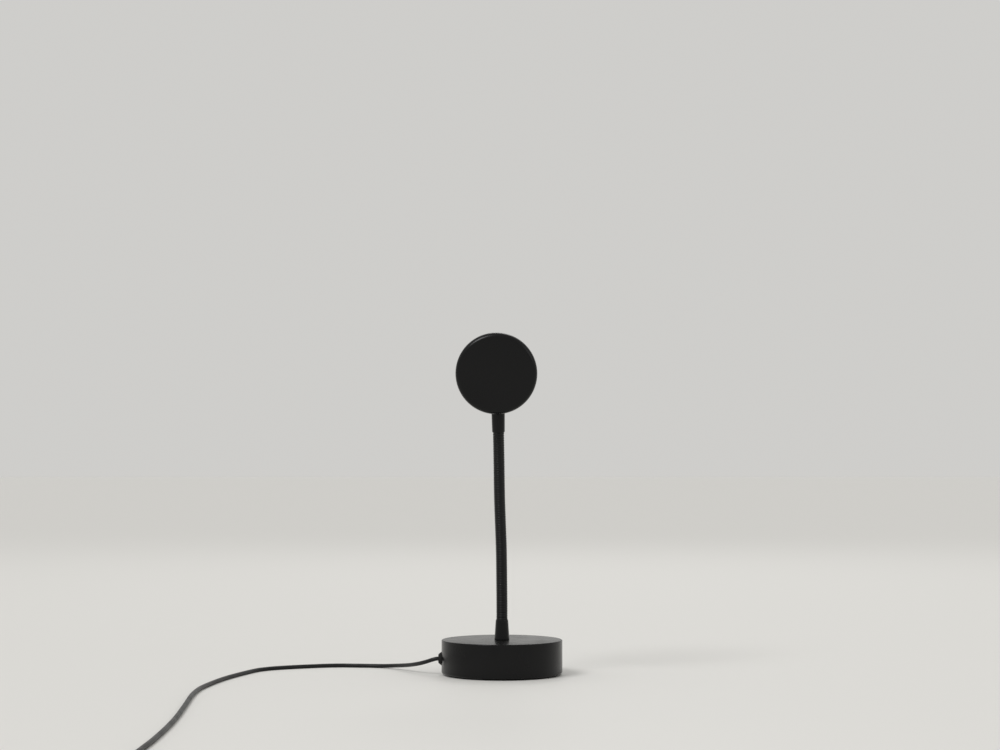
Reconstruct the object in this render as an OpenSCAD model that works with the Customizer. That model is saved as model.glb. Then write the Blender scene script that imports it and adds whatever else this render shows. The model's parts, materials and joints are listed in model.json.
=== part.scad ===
// Sunset projection lamp: a weighted round base, a neck that bends and a head with a lens.
// Millimetres. The origin is the centre of the foot on the table, +Z is up, and the light
// leaves towards +Y. The cord leaves the base on the left, towards -X.

/* [Base] */
// Diameter of the base
base_d = 90; // [80:1:110]
// Height of the base shell, without the foot pad's lift
base_h = 25; // [23:0.5:32]
// Thickness of the shell's side wall
shell_wall = 2; // [1.5:0.25:3]
// Thickness of the shell's top
shell_top = 2.5; // [2:0.25:3.5]
// Rounding of the shell's upper edge
shell_edge = 1; // [0.5:0.1:2]
// Rounding of the shell's lower edge
shell_foot_edge = 1.6; // [0.3:0.1:1.8]
// Thickness of the foot pad, which lifts the shell off the table
pad_t = 1; // [0.6:0.1:2]
// How far the foot pad stays inside the shell's outer edge
pad_inset = 4; // [3:0.5:8]
// Thickness of the steel bottom plate
plate_t = 1.6; // [1.2:0.1:2.4]
// Thickness of the counterweight
weight_t = 10; // [6:0.5:10.5]
// Gap between the counterweight and the shell's inside
weight_gap = 4; // [3.5:0.5:8]
// Diameter of the screws that close the base
base_screw_d = 3; // [2.5:0.5:3.5]
// Diameter of the posts that take those screws
post_d = 7; // [6:0.5:9]

/* [Neck] */
// Outer diameter of the bending neck
neck_d = 8.4; // [7.6:0.2:9]
// Length of the neck between its two ferrules
neck_len = 139.8; // [110:1:170]
// How far one link bends against the next, each way
link_bend = 15; // [8:0.5:15]
// Turns of wound wire on each link
turns = 5; // [4:1:6]
// How far the wound wire stands out of the neck's core
rib_h = 0.35; // [0.2:0.05:0.5]
// Diameter of the lead's channel through the neck
channel_d = 2.6; // [2.2:0.1:3]
// Diameter of the ball on the end of each link
ball_d = 5; // [4.4:0.1:5.2]
// Play around that ball
ball_play = 0.25; // [0.15:0.05:0.3]
// How far the neck's ends reach into their ferrules
neck_plug = 9; // [6:0.5:10]
// Length of the lower ferrule above the base
lower_ferrule_h = 15; // [12:0.5:20]
// Diameter of the lower ferrule where it stands on the base
lower_ferrule_d = 11.2; // [10.8:0.2:14]
// Length of the upper ferrule below the head
upper_ferrule_h = 17.2; // [14:0.2:24]
// Wall of both ferrules around the neck
ferrule_wall = 0.5; // [0.4:0.1:0.8]
// Diameter of the threaded studs on both ferrules
stud_d = 8; // [7:0.5:9]

/* [Head] */
// Largest diameter of the head, at the rear cover
head_d = 60; // [56:1:70]
// Length of the tapered housing behind the neck's centre line
rear_len = 22; // [21:0.5:28]
// Length of the tapered housing ahead of the neck's centre line
front_len = 10; // [9:0.5:14]
// How much the housing's radius shrinks from its rear edge to its front shoulder
housing_taper = 2.6; // [1:0.1:3]
// Depth of the rear cover
cover_h = 5; // [4.5:0.5:7]
// Rounding of the rear cover's edge
cover_edge = 4; // [2:0.5:4.5]
// How far the middle of the rear cover bulges out
cover_dome = 0.8; // [0.2:0.1:2]
// Thickness of the rear cover
cover_t = 2.2; // [1.6:0.1:3]
// Diameter of the lens barrel
barrel_d = 50; // [48:0.5:52]
// Length of the lens barrel that shows
barrel_len = 12; // [10:0.5:18]
// Width of the ring that holds the lens
ring_w = 2; // [1.5:0.25:4]
// How far the head is turned to the right
head_turn = 2; // [-20:1:20]
// Depth of the cooling fins
fin_h = 6.5; // [3:0.5:7]
// Number of cooling fins
fins = 9; // [5:2:11]

/* [Optics] */
// Thickness of the lens barrel's wall beside the lens
barrel_wall = 4.1; // [4:0.1:5]
// Height of the lens's bulge
lens_bulge = 6; // [4:0.5:8]
// Thickness of the lens's edge
lens_edge = 2; // [1.5:0.25:3]
// Diameter of the coloured filter disc
filter_d = 30; // [27:1:34]
// Thickness of the coloured filter disc
filter_t = 1.1; // [0.8:0.1:1.6]
// Diameter of the light's circuit board
led_board_d = 21; // [20:0.5:24]
// Diameter of the reflector cup's mouth
cup_d = 26; // [22:0.5:26]

/* [Power] */
// Diameter of the cord
cord_d = 3; // [2.6:0.1:3.4]
// Height of the cord's outlet above the table
outlet_z = 11.9; // [10:0.1:13]
// Diameter of the outlet bush's flange
bush_d = 10.4; // [9.6:0.2:11]
// How far the outlet bush stands out of the base
bush_h = 2.4; // [1.6:0.2:4]
// Diameter of the two-core leads inside the lamp
lead_d = 1.8; // [1.4:0.1:1.9]
// Length of the switch on the cord
switch_len = 38; // [34:1:44]
// Width of the switch
switch_w = 14; // [13:0.5:16]
// Height of the switch's case
switch_h = 9.6; // [9:0.2:11]
// Half of the rocker's travel
rocker_tilt = 7; // [4:0.5:8]
// Length of the plug's moulded grip
grip_len = 26; // [22:1:32]
// Width of the plug's moulded grip
grip_w = 15.6; // [14:0.2:17]
// Height of the plug's moulded grip
grip_h = 8; // [7.4:0.2:9]

/* [Hidden] */

// Colours
black = [0.06, 0.06, 0.065];
rubber_black = [0.04, 0.04, 0.042];
steel = [0.62, 0.62, 0.6];
brass = [0.72, 0.58, 0.3];

// Clearance where one piece slides into another
fit = 0.1;
// Clearance of a pin in its hole
pin_fit = 0.05;
// Clearance of a thread, drawn as a plain cylinder
thread_fit = 0.03;
// Smallest gap that keeps two loose pieces apart
gap = 0.3;

// Heights in the base, from the table up
plate_z = pad_t;
weight_z = plate_z + plate_t;
weight_top = weight_z + weight_t;
base_top = pad_t + base_h;
inner_top = base_top - shell_top;
base_r = base_d / 2;
inner_r = base_r - shell_wall;
weight_r = inner_r - weight_gap;
foot_edge = min(shell_foot_edge, shell_wall - 0.2);

// Posts and screws of the base
post_angles = [30, 150, 270];
post_r = post_d / 2;
post_at = inner_r - post_r - 5;
screw_len = 8;
csk_h = min(plate_t, 1.6);

// Washer and nut under the base's top, and inside the head
washer_t = 1.2;
washer_r = stud_d / 2 + 4;
nut_t = 3.6;
nut_r = stud_d / 2 + 3.2;
stud_r = stud_d / 2;
stud_spare = 1.2;

// Driver board
board = [34, 15, 1.6];
board_gap = 2;
board_z = weight_top + board_gap;
// How far the board stays inside the counterweight's edge
board_edge = 7;
board_y = weight_r - board_edge - board[1] / 2;
pillar_x = board[0] / 2 - 3;

// Neck
links = 13;
neck_r = neck_d / 2;
neck_z0 = base_top + lower_ferrule_h;
link_len = neck_len / links;
turn_pitch = link_len / turns;
wire_r = 0.46 * turn_pitch;
core_r = neck_r - rib_h;
channel_r = channel_d / 2;
ball_r = ball_d / 2;
ball_cap = 0.68 * ball_r;
face_gap = 0.1;
// Half of the V between two links: half of the bend, and the slight bend at rest
face_slope = tan(link_bend / 2 + 1.6);
// The slight curve that the neck has been left in: each link's lean to the left, in degrees
neck_lean = [0, 0.5, 0.5, 0.6, 1, 2, 2.3, 2, 1.4, 0.7, 0.8, 1, 1];
// Each link's lean away from the light, which aims the head up the wall
function neck_back(k) = max(0, k - 4);
function link_dir(k) = [
    -cos(neck_back(k)) * sin(neck_lean[k]),
    -sin(neck_back(k)),
    cos(neck_back(k)) * cos(neck_lean[k])
];
function joint_at(k) = k == 0 ? [0, 0, neck_z0] : joint_at(k - 1) + link_len * link_dir(k - 1);

// Ferrules
socket_r = neck_r + pin_fit;
ferrule_r = socket_r + ferrule_wall;
lead_hole_r = 2;

// Head, along its optical axis from the neck's centre line
head_r = head_d / 2;
housing_wall = 2.1;
rear_y = -rear_len;
shoulder_y = front_len;
thread_r = barrel_d / 2 - 1.5;
housing_front_r = barrel_d / 2 + 0.6;
housing_front_y = shoulder_y + 8;
chamber_r = head_r - housing_taper - housing_wall;
rear_bore_r = chamber_r + 1.7;
function housing_r(y) = head_r - housing_taper * (y - rear_y) / (shoulder_y - rear_y);
seat_pad = 0.6;
seat_pad_r = 7;
seat_drop = housing_r(0) + seat_pad;
inner_pad = seat_drop - 4.6;
sink_t = 3;
sink_y = -11;
board_front_y = sink_y + 1.6;
web_t = 1.5;
web_y = shoulder_y - 2;
cup_t = 1.2;
cup_flange_y = web_y;
holder_y = cup_flange_y + cup_t;
holder_t = filter_t + 2;
barrel_y = holder_y + holder_t;
barrel_front_y = housing_front_y + barrel_len;
barrel_r = barrel_d / 2;
lens_r = barrel_r - barrel_wall;
ring_spigot = 2;
lens_front_y = barrel_front_y - ring_spigot;
lens_back_y = lens_front_y - lens_edge;
gasket_t = 0.8;
dome_r = lens_r - 1.7;
lens_curve_r = (dome_r * dome_r + lens_bulge * lens_bulge) / (2 * lens_bulge);
ring_bore_r = dome_r + 0.4;

// Cord: the hand-laid route of the stretch from the outlet to the coil, x, y and height.
cord_r = cord_d / 2;
bush_face = base_r + bush_h;
route_start = [[-bush_face, 0, outlet_z], [-bush_face - 1.5, 0, outlet_z]];
route_lay = [
    [-52.2, 0.8, 10.7], [-56, 3.4, 9.4], [-60.5, 8, 7.8], [-65, 14, 6.4], [-70, 22, 5],
    [-75.5, 31, 3.8], [-82, 40, 2.7], [-90, 47, 1.8], [-99.5, 51, cord_r], [-110, 52.5, cord_r],
    [-122, 54, cord_r], [-133, 53, cord_r], [-142, 50, cord_r], [-151, 46, cord_r],
    [-160, 41.5, cord_r], [-169, 36, cord_r], [-177, 29.5, cord_r], [-184.5, 19, cord_r],
    [-190.5, 1, cord_r], [-196.2, -20, cord_r], [-201.5, -44, cord_r], [-205.8, -74, cord_r],
    [-208.8, -108, cord_r], [-208, -145, cord_r], [-204.5, -190, cord_r], [-201.5, -228, cord_r],
    [-199, -262, cord_r], [-197, -298, cord_r], [-195.7, -336, cord_r], [-195, -368, cord_r],
    [-195, -400, cord_r], [-195, -432, cord_r], [-195, -464, cord_r], [-195, -498, cord_r]
];
coil_mid_r = 5.5 * cord_d;
coil_rows = 3;
coil_r = coil_mid_r + coil_rows * cord_d / 2;
coil_hole_r = coil_mid_r - coil_rows * cord_d / 2;
coil_h = coil_rows * cord_d;
coil_at = [-195 + coil_mid_r + cord_d, -506];
tail_y = coil_at[1] - coil_mid_r - cord_d;

// Switch and plug, in line beside the coil
tail_z = switch_h / 2;
switch_x = coil_at[0] + 22 + switch_len / 2;
switch_end = switch_x + switch_len / 2;
plug_gap = 12;
grip_x = switch_end + plug_gap;
plug_z = grip_h / 2;
usb_w = 12;
usb_h = 4.5;
usb_len = 12;
usb_wall = 0.4;

$fn = 64;

// ---------- Shared shapes ----------

// Points of an arc around c, from angle a0 to a1
function arc(c, r, a0, a1, n = 6) = [
    for (i = [0 : n]) c + r * [cos(a0 + (a1 - a0) * i / n), sin(a0 + (a1 - a0) * i / n)]
];

// Points halfway between, on a curve through the route's points
function halfway(p, i) = i == 0 || i >= len(p) - 2
    ? (p[i] + p[i + 1]) / 2
    : (9 * (p[i] + p[i + 1]) - p[i - 1] - p[i + 2]) / 16;
function finer(p) = [
    for (i = [0 : 2 * (len(p) - 1)]) i % 2 == 0 ? p[i / 2] : halfway(p, (i - 1) / 2)
];
function unit(v) = v / norm(v);
function tangent(p, i) = unit(p[min(i + 1, len(p) - 1)] - p[max(i - 1, 0)]);
// Sideways direction of a ring, level unless the path is upright
function side(t) = abs(t[2]) > 0.9 ? [1, 0, 0] : unit(cross([0, 0, 1], t));
function ring_points(c, t, r, n) = [
    let (s = unit(side(t) - (side(t) * t) * t), u = cross(t, s))
    for (k = [0 : n - 1])
        c + r * (cos(360 * (k + 0.5) / n) * s + sin(360 * (k + 0.5) / n) * u)
];

// A round tube swept along a path
module swept(path, r, n = 8) {
    last = len(path) - 1;
    points = [for (i = [0 : last]) each ring_points(path[i], tangent(path, i), r, n)];
    sides = [
        for (i = [0 : last - 1], k = [0 : n - 1])
            let (j = (k + 1) % n) [i * n + k, (i + 1) * n + k, (i + 1) * n + j, i * n + j]
    ];
    start = [for (k = [0 : n - 1]) k];
    finish = [for (k = [n - 1 : -1 : 0]) last * n + k];
    polyhedron(points, concat([start], sides, [finish]), convexity = 10);
}

// Turns its children so that what stood along Z lies along the light's way
module along_y() {
    rotate([-90, 0, 0]) children();
}

// A body of revolution around the optical axis, from points of radius and place
module turned(points) {
    along_y() rotate_extrude($fn = 128) polygon(points);
}

// A bar with round ends, along X
module round_bar(length, width, height) {
    for (s = [-1, 1]) {
        translate([s * (length - width) / 2, 0, 0]) cylinder(d = width, h = height);
    }
    translate([-(length - width) / 2, -width / 2, 0]) cube([length - width, width, height]);
}

// A block with rounded long edges, along X from 0
module round_block(length, width, height, r) {
    for (y = [-1, 1], z = [-1, 1]) {
        translate([0, y * (width / 2 - r), z * (height / 2 - r)])
            rotate([0, 90, 0]) cylinder(r = r, h = length, $fn = 32);
    }
    translate([0, -width / 2 + r, -height / 2]) cube([length, width - 2 * r, height]);
    translate([0, -width / 2, -height / 2 + r]) cube([length, width, height - 2 * r]);
}

// ---------- Base ----------

module at_posts() {
    for (a = post_angles) {
        rotate([0, 0, a]) translate([post_at, 0, 0]) children();
    }
}

module base_shell() {
    color(black) difference() {
        union() {
            rotate_extrude($fn = 160) polygon(concat(
                [[0, base_top]],
                arc([base_r - shell_edge, base_top - shell_edge], shell_edge, 90, 0),
                arc([base_r - foot_edge, pad_t + foot_edge], foot_edge, 0, -90),
                [[inner_r, pad_t], [inner_r, inner_top], [0, inner_top]]
            ));
            at_posts() translate([0, 0, weight_z]) cylinder(r = post_r, h = inner_top - weight_z + 0.5);
        }
        translate([0, 0, inner_top - 1]) cylinder(r = stud_r + fit, h = shell_top + 2);
        translate([-base_r - 5, 0, outlet_z]) rotate([0, 90, 0])
            cylinder(r = bush_d / 2 - 1.2 + pin_fit, h = shell_wall + 10);
        at_posts() translate([0, 0, weight_z - 1])
            cylinder(r = base_screw_d / 2, h = screw_len + 1, $fn = 32);
    }
}

module base_bottom_plate() {
    color(steel) difference() {
        translate([0, 0, plate_z]) cylinder(r = inner_r - fit, h = plate_t, $fn = 160);
        at_posts() translate([0, 0, plate_z - 1])
            cylinder(r = base_screw_d / 2 + fit, h = plate_t + 2, $fn = 32);
        at_posts() translate([0, 0, plate_z])
            cylinder(r1 = base_screw_d + fit, r2 = base_screw_d / 2 + fit, h = csk_h, $fn = 32);
    }
}

module base_counterweight() {
    notch_w = bush_d + 3;
    color("dimgray") difference() {
        translate([0, 0, weight_z]) cylinder(r = weight_r, h = weight_t, $fn = 128);
        translate([-weight_r - 1, -notch_w / 2, weight_z - 1])
            cube([weight_r - 24, notch_w, weight_t + 2]);
        at_posts() translate([0, 0, weight_z - 1]) cylinder(r = post_r + gap, h = weight_t + 2);
        for (s = [-1, 1]) {
            translate([s * pillar_x, board_y, weight_top - 3]) cylinder(r = 1.2 + pin_fit, h = 4, $fn = 32);
        }
    }
}

module base_foot_pad() {
    color(rubber_black) cylinder(r = base_r - pad_inset, h = pad_t, $fn = 128);
}

module base_screws() {
    color(steel) at_posts() translate([0, 0, plate_z]) {
        cylinder(r1 = base_screw_d - fit, r2 = base_screw_d / 2 - pin_fit, h = csk_h, $fn = 32);
        cylinder(r = base_screw_d / 2 - pin_fit, h = plate_t + screw_len - 1, $fn = 32);
    }
}

module driver_board() {
    color([0.1, 0.32, 0.16]) difference() {
        translate([-board[0] / 2, board_y - board[1] / 2, board_z]) cube(board);
        for (s = [-1, 1]) {
            translate([s * pillar_x, board_y, board_z - 1])
                cylinder(r = 1.2 + pin_fit, h = board[2] + 2, $fn = 32);
        }
    }
}

module driver_parts() {
    top = board_z + board[2];
    color("dimgray") translate([6, board_y, top]) cylinder(r = 3.6, h = 3.2);
    color("dimgray") translate([-2, board_y - 5, top]) cube([5, 4, 1.5]);
    color("silver") translate([-5.5, board_y + 3.2, top]) cylinder(r = 2.5, h = 4.6);
    color("tan") for (i = [0 : 2]) {
        translate([-1 + 2.4 * i, board_y + 4.6, top]) cube([1.2, 2, 0.6]);
    }
}

module board_pillars() {
    color("white") for (s = [-1, 1]) {
        translate([s * pillar_x, board_y, 0]) {
            translate([0, 0, weight_top]) cylinder(r = 2.2, h = board_gap, $fn = 32);
            translate([0, 0, weight_top - 2.8])
                cylinder(r = 1.2, h = 2.8 + board_gap + board[2] + 1, $fn = 32);
            translate([0, 0, board_z + board[2]]) cylinder(r1 = 1.9, r2 = 1.3, h = 1, $fn = 32);
        }
    }
}

module inlet_leads() {
    z = board_z + board[2] + lead_d / 2;
    color("firebrick") swept([
        [-weight_r + 5, 0, outlet_z], [-weight_r + 6.5, 0, outlet_z], [-weight_r + 9.5, 2, outlet_z + 1.4],
        [-board[0] / 2 - 9, 7.5, weight_top + 2], [-board[0] / 2 - 5, 13, z],
        [-board[0] / 2, board_y - 6, z + 0.4], [-board[0] / 2 + 7, board_y - 3, z]
    ], lead_d / 2);
}

module base_leads() {
    z = board_z + board[2] + lead_d / 2;
    low = inner_top - washer_t - nut_t - stud_spare - lead_d / 2 - 0.5;
    color("firebrick") swept([
        [2, board_y - 7.4, z], [2, board_y - 9.5, z - 0.6], [1.5, washer_r + 2, low + 0.4],
        [0.8, 4.5, low], [0.2, 1.4, low + 0.3], [0, 0.2, low + 1.4], [0, 0, low + 3],
        [0, 0, neck_z0 - neck_plug - 1]
    ], lead_d / 2);
}

module outlet_bush() {
    barrel = bush_d / 2 - 1.2;
    color(rubber_black) translate([-base_r, 0, outlet_z]) rotate([0, 90, 0]) difference() {
        union() {
            difference() {
                translate([0, 0, -bush_h])
                    cylinder(r1 = bush_d / 2 - 1.4, r2 = bush_d / 2, h = bush_h + 0.6);
                rotate([0, -90, 0]) translate([base_r, 0, -bush_d])
                    cylinder(r = base_r, h = 2 * bush_d, $fn = 160);
            }
            translate([0, 0, -bush_h / 2]) cylinder(r = barrel, h = bush_h / 2 + shell_wall + 1.6);
            translate([0, 0, shell_wall + 0.5]) cylinder(r = bush_d / 2 - 0.4, h = 1.1);
        }
        translate([0, 0, -bush_h - 1]) cylinder(r = cord_r, h = bush_h + shell_wall + 6, $fn = 32);
    }
}

module cord_inner_end() {
    color(rubber_black) translate([-bush_face, 0, outlet_z]) rotate([0, 90, 0])
        cylinder(r = cord_r, h = bush_face - weight_r + 5, $fn = 32);
}

// ---------- Ferrules, washers and nuts ----------

// Hex nut with its hole, from its corner radius
module nut(r) {
    difference() {
        cylinder(r = r, h = nut_t, $fn = 6);
        translate([0, 0, -1]) cylinder(r = stud_r + thread_fit, h = nut_t + 2);
    }
}

module washer(r) {
    difference() {
        cylinder(r = r, h = washer_t);
        translate([0, 0, -1]) cylinder(r = stud_r + fit, h = washer_t + 2);
    }
}

module lower_ferrule() {
    foot_r = lower_ferrule_d / 2;
    swell = foot_r - ferrule_r;
    stud_len = shell_top + washer_t + nut_t + stud_spare;
    color(black) translate([0, 0, base_top]) difference() {
        union() {
            rotate_extrude() polygon([
                [0, 0], [foot_r - 0.3, 0], [foot_r, 0.3],
                [ferrule_r + 0.72 * swell, lower_ferrule_h * 0.42],
                [ferrule_r + 0.42 * swell, lower_ferrule_h * 0.7],
                [ferrule_r, lower_ferrule_h - 0.3], [ferrule_r - 0.3, lower_ferrule_h],
                [0, lower_ferrule_h]
            ]);
            translate([0, 0, -stud_len]) cylinder(r = stud_r, h = stud_len + 1);
        }
        translate([0, 0, lower_ferrule_h - neck_plug]) cylinder(r = socket_r, h = neck_plug + 1);
        translate([0, 0, -stud_len - 1]) cylinder(r = lead_hole_r, h = stud_len + lower_ferrule_h, $fn = 32);
    }
}

module lower_washer() {
    color(steel) translate([0, 0, inner_top - washer_t]) washer(washer_r);
}

module lower_nut() {
    color(steel) translate([0, 0, inner_top - washer_t - nut_t]) nut(nut_r);
}

// ---------- Neck ----------

module at_link(k) {
    translate(joint_at(k)) rotate([neck_back(k), -neck_lean[k], 0]) children();
}

// Half section of one link: wound wire on a core, a socket below and a ball above
module link_section(first, last) {
    foot = first ? 0 : face_gap;
    slope = first ? 0 : face_slope;
    head = last ? 0 : face_gap;
    head_slope = last ? 0 : face_slope;
    intersection() {
        translate([channel_r, -neck_plug]) square([neck_r, link_len + 2 * neck_plug]);
        difference() {
            union() {
                intersection() {
                    union() {
                        square([core_r, link_len]);
                        for (i = [0 : turns - 1]) {
                            translate([neck_r - wire_r, (i + 0.5) * turn_pitch]) circle(r = wire_r, $fn = 32);
                        }
                    }
                    polygon([
                        [0, foot], [neck_r + 1, foot + (neck_r + 1) * slope],
                        [neck_r + 1, link_len - head - (neck_r + 1) * head_slope],
                        [0, link_len - head]
                    ]);
                }
                if (!last) {
                    intersection() {
                        translate([0, link_len]) circle(r = ball_r, $fn = 64);
                        translate([0, link_len - ball_r]) square([ball_r, ball_r + ball_cap]);
                    }
                }
                if (first) {
                    translate([0, -neck_plug]) square([neck_r, neck_plug + 1]);
                }
                if (last) {
                    translate([0, link_len - 1]) square([neck_r, neck_plug + 1]);
                }
            }
            if (!first) {
                circle(r = ball_r + ball_play, $fn = 64);
            }
        }
    }
}

module neck_link(k) {
    color(black) at_link(k) rotate_extrude() link_section(k == 0, k == links - 1);
}

module neck_leads() {
    top = links - 1;
    color("firebrick") swept(concat(
        [[0, 0, neck_z0 - neck_plug - 1]],
        [for (k = [0 : links]) k <= top ? joint_at(k) : joint_at(top) + link_len * link_dir(top)],
        [joint_at(links) + (neck_plug + 1) * link_dir(top)]
    ), lead_d / 2);
}

// ---------- Head ----------

// From the neck's upper end, along its last link
module at_neck_top() {
    top = links - 1;
    translate(joint_at(links)) rotate([neck_back(top), -neck_lean[top], 0]) children();
}

// Origin on the optical axis above the neck, +Y the way the light goes
module at_head() {
    at_neck_top() translate([0, 0, upper_ferrule_h + seat_drop]) rotate([0, 0, -head_turn]) children();
}

module upper_ferrule() {
    stud_len = seat_drop - inner_pad + washer_t + nut_t + stud_spare;
    color(black) at_neck_top() difference() {
        union() {
            rotate_extrude() polygon([
                [0, 0], [ferrule_r - 0.3, 0], [ferrule_r, 0.6], [ferrule_r + 0.25, 1.6],
                [ferrule_r + 0.25, upper_ferrule_h], [0, upper_ferrule_h]
            ]);
            translate([0, 0, upper_ferrule_h - 1]) cylinder(r = stud_r, h = stud_len + 1);
        }
        translate([0, 0, -1]) cylinder(r = socket_r, h = neck_plug + 1);
        cylinder(r = lead_hole_r, h = upper_ferrule_h + stud_len + 1, $fn = 32);
    }
}

module upper_washer() {
    color(steel) at_head() translate([0, 0, -inner_pad]) washer(seat_pad_r - 0.5);
}

module upper_nut() {
    color(steel) at_head() translate([0, 0, -inner_pad + washer_t]) nut(seat_pad_r - 0.4);
}

module head_housing() {
    groove = 0.5;
    color(black) at_head() difference() {
        union() {
            difference() {
                turned(concat(
                    [[chamber_r, rear_y], [head_r - groove, rear_y], [head_r - groove, rear_y + 1]],
                    [[housing_r(rear_y + 1.5), rear_y + 1.5], [housing_r(shoulder_y), shoulder_y]],
                    arc([housing_front_r, shoulder_y], housing_r(shoulder_y) - housing_front_r, 0, 90),
                    [[housing_front_r, housing_front_y], [chamber_r - 8, housing_front_y]],
                    [[chamber_r - 8, rear_y]]
                ));
                turned([[0, rear_y - 1], [rear_bore_r, rear_y - 1], [rear_bore_r, sink_y],
                    [chamber_r, sink_y], [chamber_r, web_y - web_t], [0, web_y - web_t]]);
                turned([[0, web_y], [thread_r, web_y], [thread_r, housing_front_y + 1],
                    [0, housing_front_y + 1]]);
                turned([[0, web_y - web_t - 1], [cup_d / 2 + 2.2, web_y - web_t - 1],
                    [cup_d / 2 + 2.2, web_y + 1], [0, web_y + 1]]);
            }
            translate([0, 0, -seat_drop]) cylinder(r = seat_pad_r, h = seat_drop - inner_pad);
        }
        translate([0, 0, -seat_drop - 1]) cylinder(r = stud_r + fit, h = 8);
    }
}

module rear_cover() {
    back_y = rear_y - cover_h;
    flat_r = head_r - cover_edge;
    dome = [for (i = [0 : 6]) [flat_r * i / 6, back_y - cover_dome * (1 - pow(i / 6, 2))]];
    inside = [for (i = [6 : -1 : 0]) [
        (flat_r - 1) * i / 6, back_y + cover_t - cover_dome * (1 - pow(i / 6, 2))
    ]];
    color(black) at_head() turned(concat(
        dome,
        arc([flat_r, back_y + cover_edge], cover_edge, -90, 0),
        [[head_r, rear_y], [rear_bore_r - fit, rear_y], [rear_bore_r - fit, sink_y - sink_t],
         [rear_bore_r - 1.8, sink_y - sink_t], [rear_bore_r - 1.8, back_y + cover_t + 1]],
        inside
    ));
}

module heat_sink() {
    fin_r = rear_bore_r - 2.6;
    pitch = 2 * fin_r / fins;
    color("silver") at_head() difference() {
        union() {
            turned([[0, sink_y - sink_t], [rear_bore_r - fit, sink_y - sink_t],
                [rear_bore_r - fit, sink_y], [0, sink_y]]);
            intersection() {
                turned([[0, sink_y - sink_t - fin_h], [fin_r, sink_y - sink_t - fin_h],
                    [fin_r, sink_y - 1], [0, sink_y - 1]]);
                union() {
                    for (i = [0 : fins - 1]) {
                        translate([(i - (fins - 1) / 2) * pitch - 0.7, sink_y - sink_t - fin_h, -fin_r])
                            cube([1.4, sink_t + fin_h, 2 * fin_r]);
                    }
                }
            }
        }
        at_led_screws() along_y() translate([0, 0, sink_y - 2.5]) cylinder(r = 1, h = 4, $fn = 32);
    }
}

module at_led_screws() {
    for (s = [-1, 1]) {
        translate([s * (led_board_d / 2 - 2.3), 0, 0]) children();
    }
}

module led_board() {
    color("white") at_head() difference() {
        turned([
            [0, sink_y], [led_board_d / 2, sink_y], [led_board_d / 2, board_front_y], [0, board_front_y]
        ]);
        at_led_screws() along_y() translate([0, 0, sink_y - 1]) cylinder(r = 1 + fit, h = 4, $fn = 32);
    }
}

module led_emitter() {
    color("gold") at_head() {
        turned([
            [0, board_front_y], [3.4, board_front_y], [3.4, board_front_y + 0.8], [0, board_front_y + 0.8]
        ]);
        translate([0, board_front_y + 0.8, 0]) intersection() {
            sphere(r = 2.4, $fn = 48);
            translate([-3, -0.3, -3]) cube([6, 3, 6]);
        }
    }
}

module led_screws() {
    color(steel) at_head() at_led_screws() along_y() {
        translate([0, 0, sink_y - 2.4]) cylinder(r = 1 - pin_fit, h = 4.2, $fn = 32);
        translate([0, 0, board_front_y]) cylinder(r1 = 1.8, r2 = 1.4, h = 1.3, $fn = 32);
    }
}

module head_leads() {
    start = inner_pad - washer_t - nut_t - stud_spare;
    color("firebrick") {
        at_neck_top() translate([0, 0, neck_plug + 1])
            cylinder(r = lead_d / 2, h = upper_ferrule_h + seat_drop - start - neck_plug - 1, $fn = 8);
        at_head() swept([
            [0, 0, -start], [0, -0.8, -start + 1.6], [0, -3, -start + 3.4], [0, -6, -start + 5.4],
            [0, -7.6, -11.8], [0, board_front_y + lead_d / 2, -9.4], [0, board_front_y + lead_d / 2, -7.6]
        ], lead_d / 2);
    }
}

module reflector_cup() {
    mouth = cup_d / 2;
    throat = 4;
    wall = 1;
    steps = 8;
    depth = holder_y - board_front_y;
    inside = [for (i = [0 : steps]) [
        throat + (mouth - throat) * pow(i / steps, 0.75), board_front_y + depth * i / steps
    ]];
    outside = [for (i = [steps - 1 : -1 : 0]) inside[i] + [wall, 0]];
    color("gainsboro") at_head() turned(concat(
        inside,
        [[thread_r - fit, holder_y], [thread_r - fit, cup_flange_y], [mouth + 0.6, cup_flange_y]],
        outside
    ));
}

module sunset_filter() {
    color([1, 0.45, 0.1, 0.6]) at_head() turned([
        [0, holder_y], [filter_d / 2, holder_y], [filter_d / 2, holder_y + filter_t], [0, holder_y + filter_t]
    ]);
}

module filter_holder() {
    window = filter_d / 2 - 1.5;
    pocket = filter_d / 2 + fit;
    color(black) at_head() turned([
        [pocket, holder_y], [thread_r - fit, holder_y], [thread_r - fit, barrel_y],
        [window, barrel_y], [window, holder_y + filter_t], [pocket, holder_y + filter_t]
    ]);
}

module lens_barrel() {
    bore = lens_r - 1;
    shoulder = lens_back_y - gasket_t;
    grip = [for (i = [0 : 3]) each [
        [barrel_r, housing_front_y + 2.5 + 2 * i], [barrel_r - 0.4, housing_front_y + 3 + 2 * i],
        [barrel_r - 0.4, housing_front_y + 3.6 + 2 * i], [barrel_r, housing_front_y + 4.1 + 2 * i]
    ]];
    color(black) at_head() turned(concat(
        [[bore, barrel_y], [thread_r, barrel_y], [thread_r, housing_front_y], [barrel_r, housing_front_y]],
        grip,
        [[barrel_r, barrel_front_y], [lens_r + 1.6 + fit, barrel_front_y],
         [lens_r + 1.6 + fit, lens_front_y], [lens_r + fit, lens_front_y],
         [lens_r + fit, shoulder], [bore, shoulder]]
    ));
}

module lens_gasket() {
    color(rubber_black) at_head() turned([
        [lens_r - 1, lens_back_y - gasket_t], [lens_r, lens_back_y - gasket_t],
        [lens_r, lens_back_y], [lens_r - 1, lens_back_y]
    ]);
}

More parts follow.
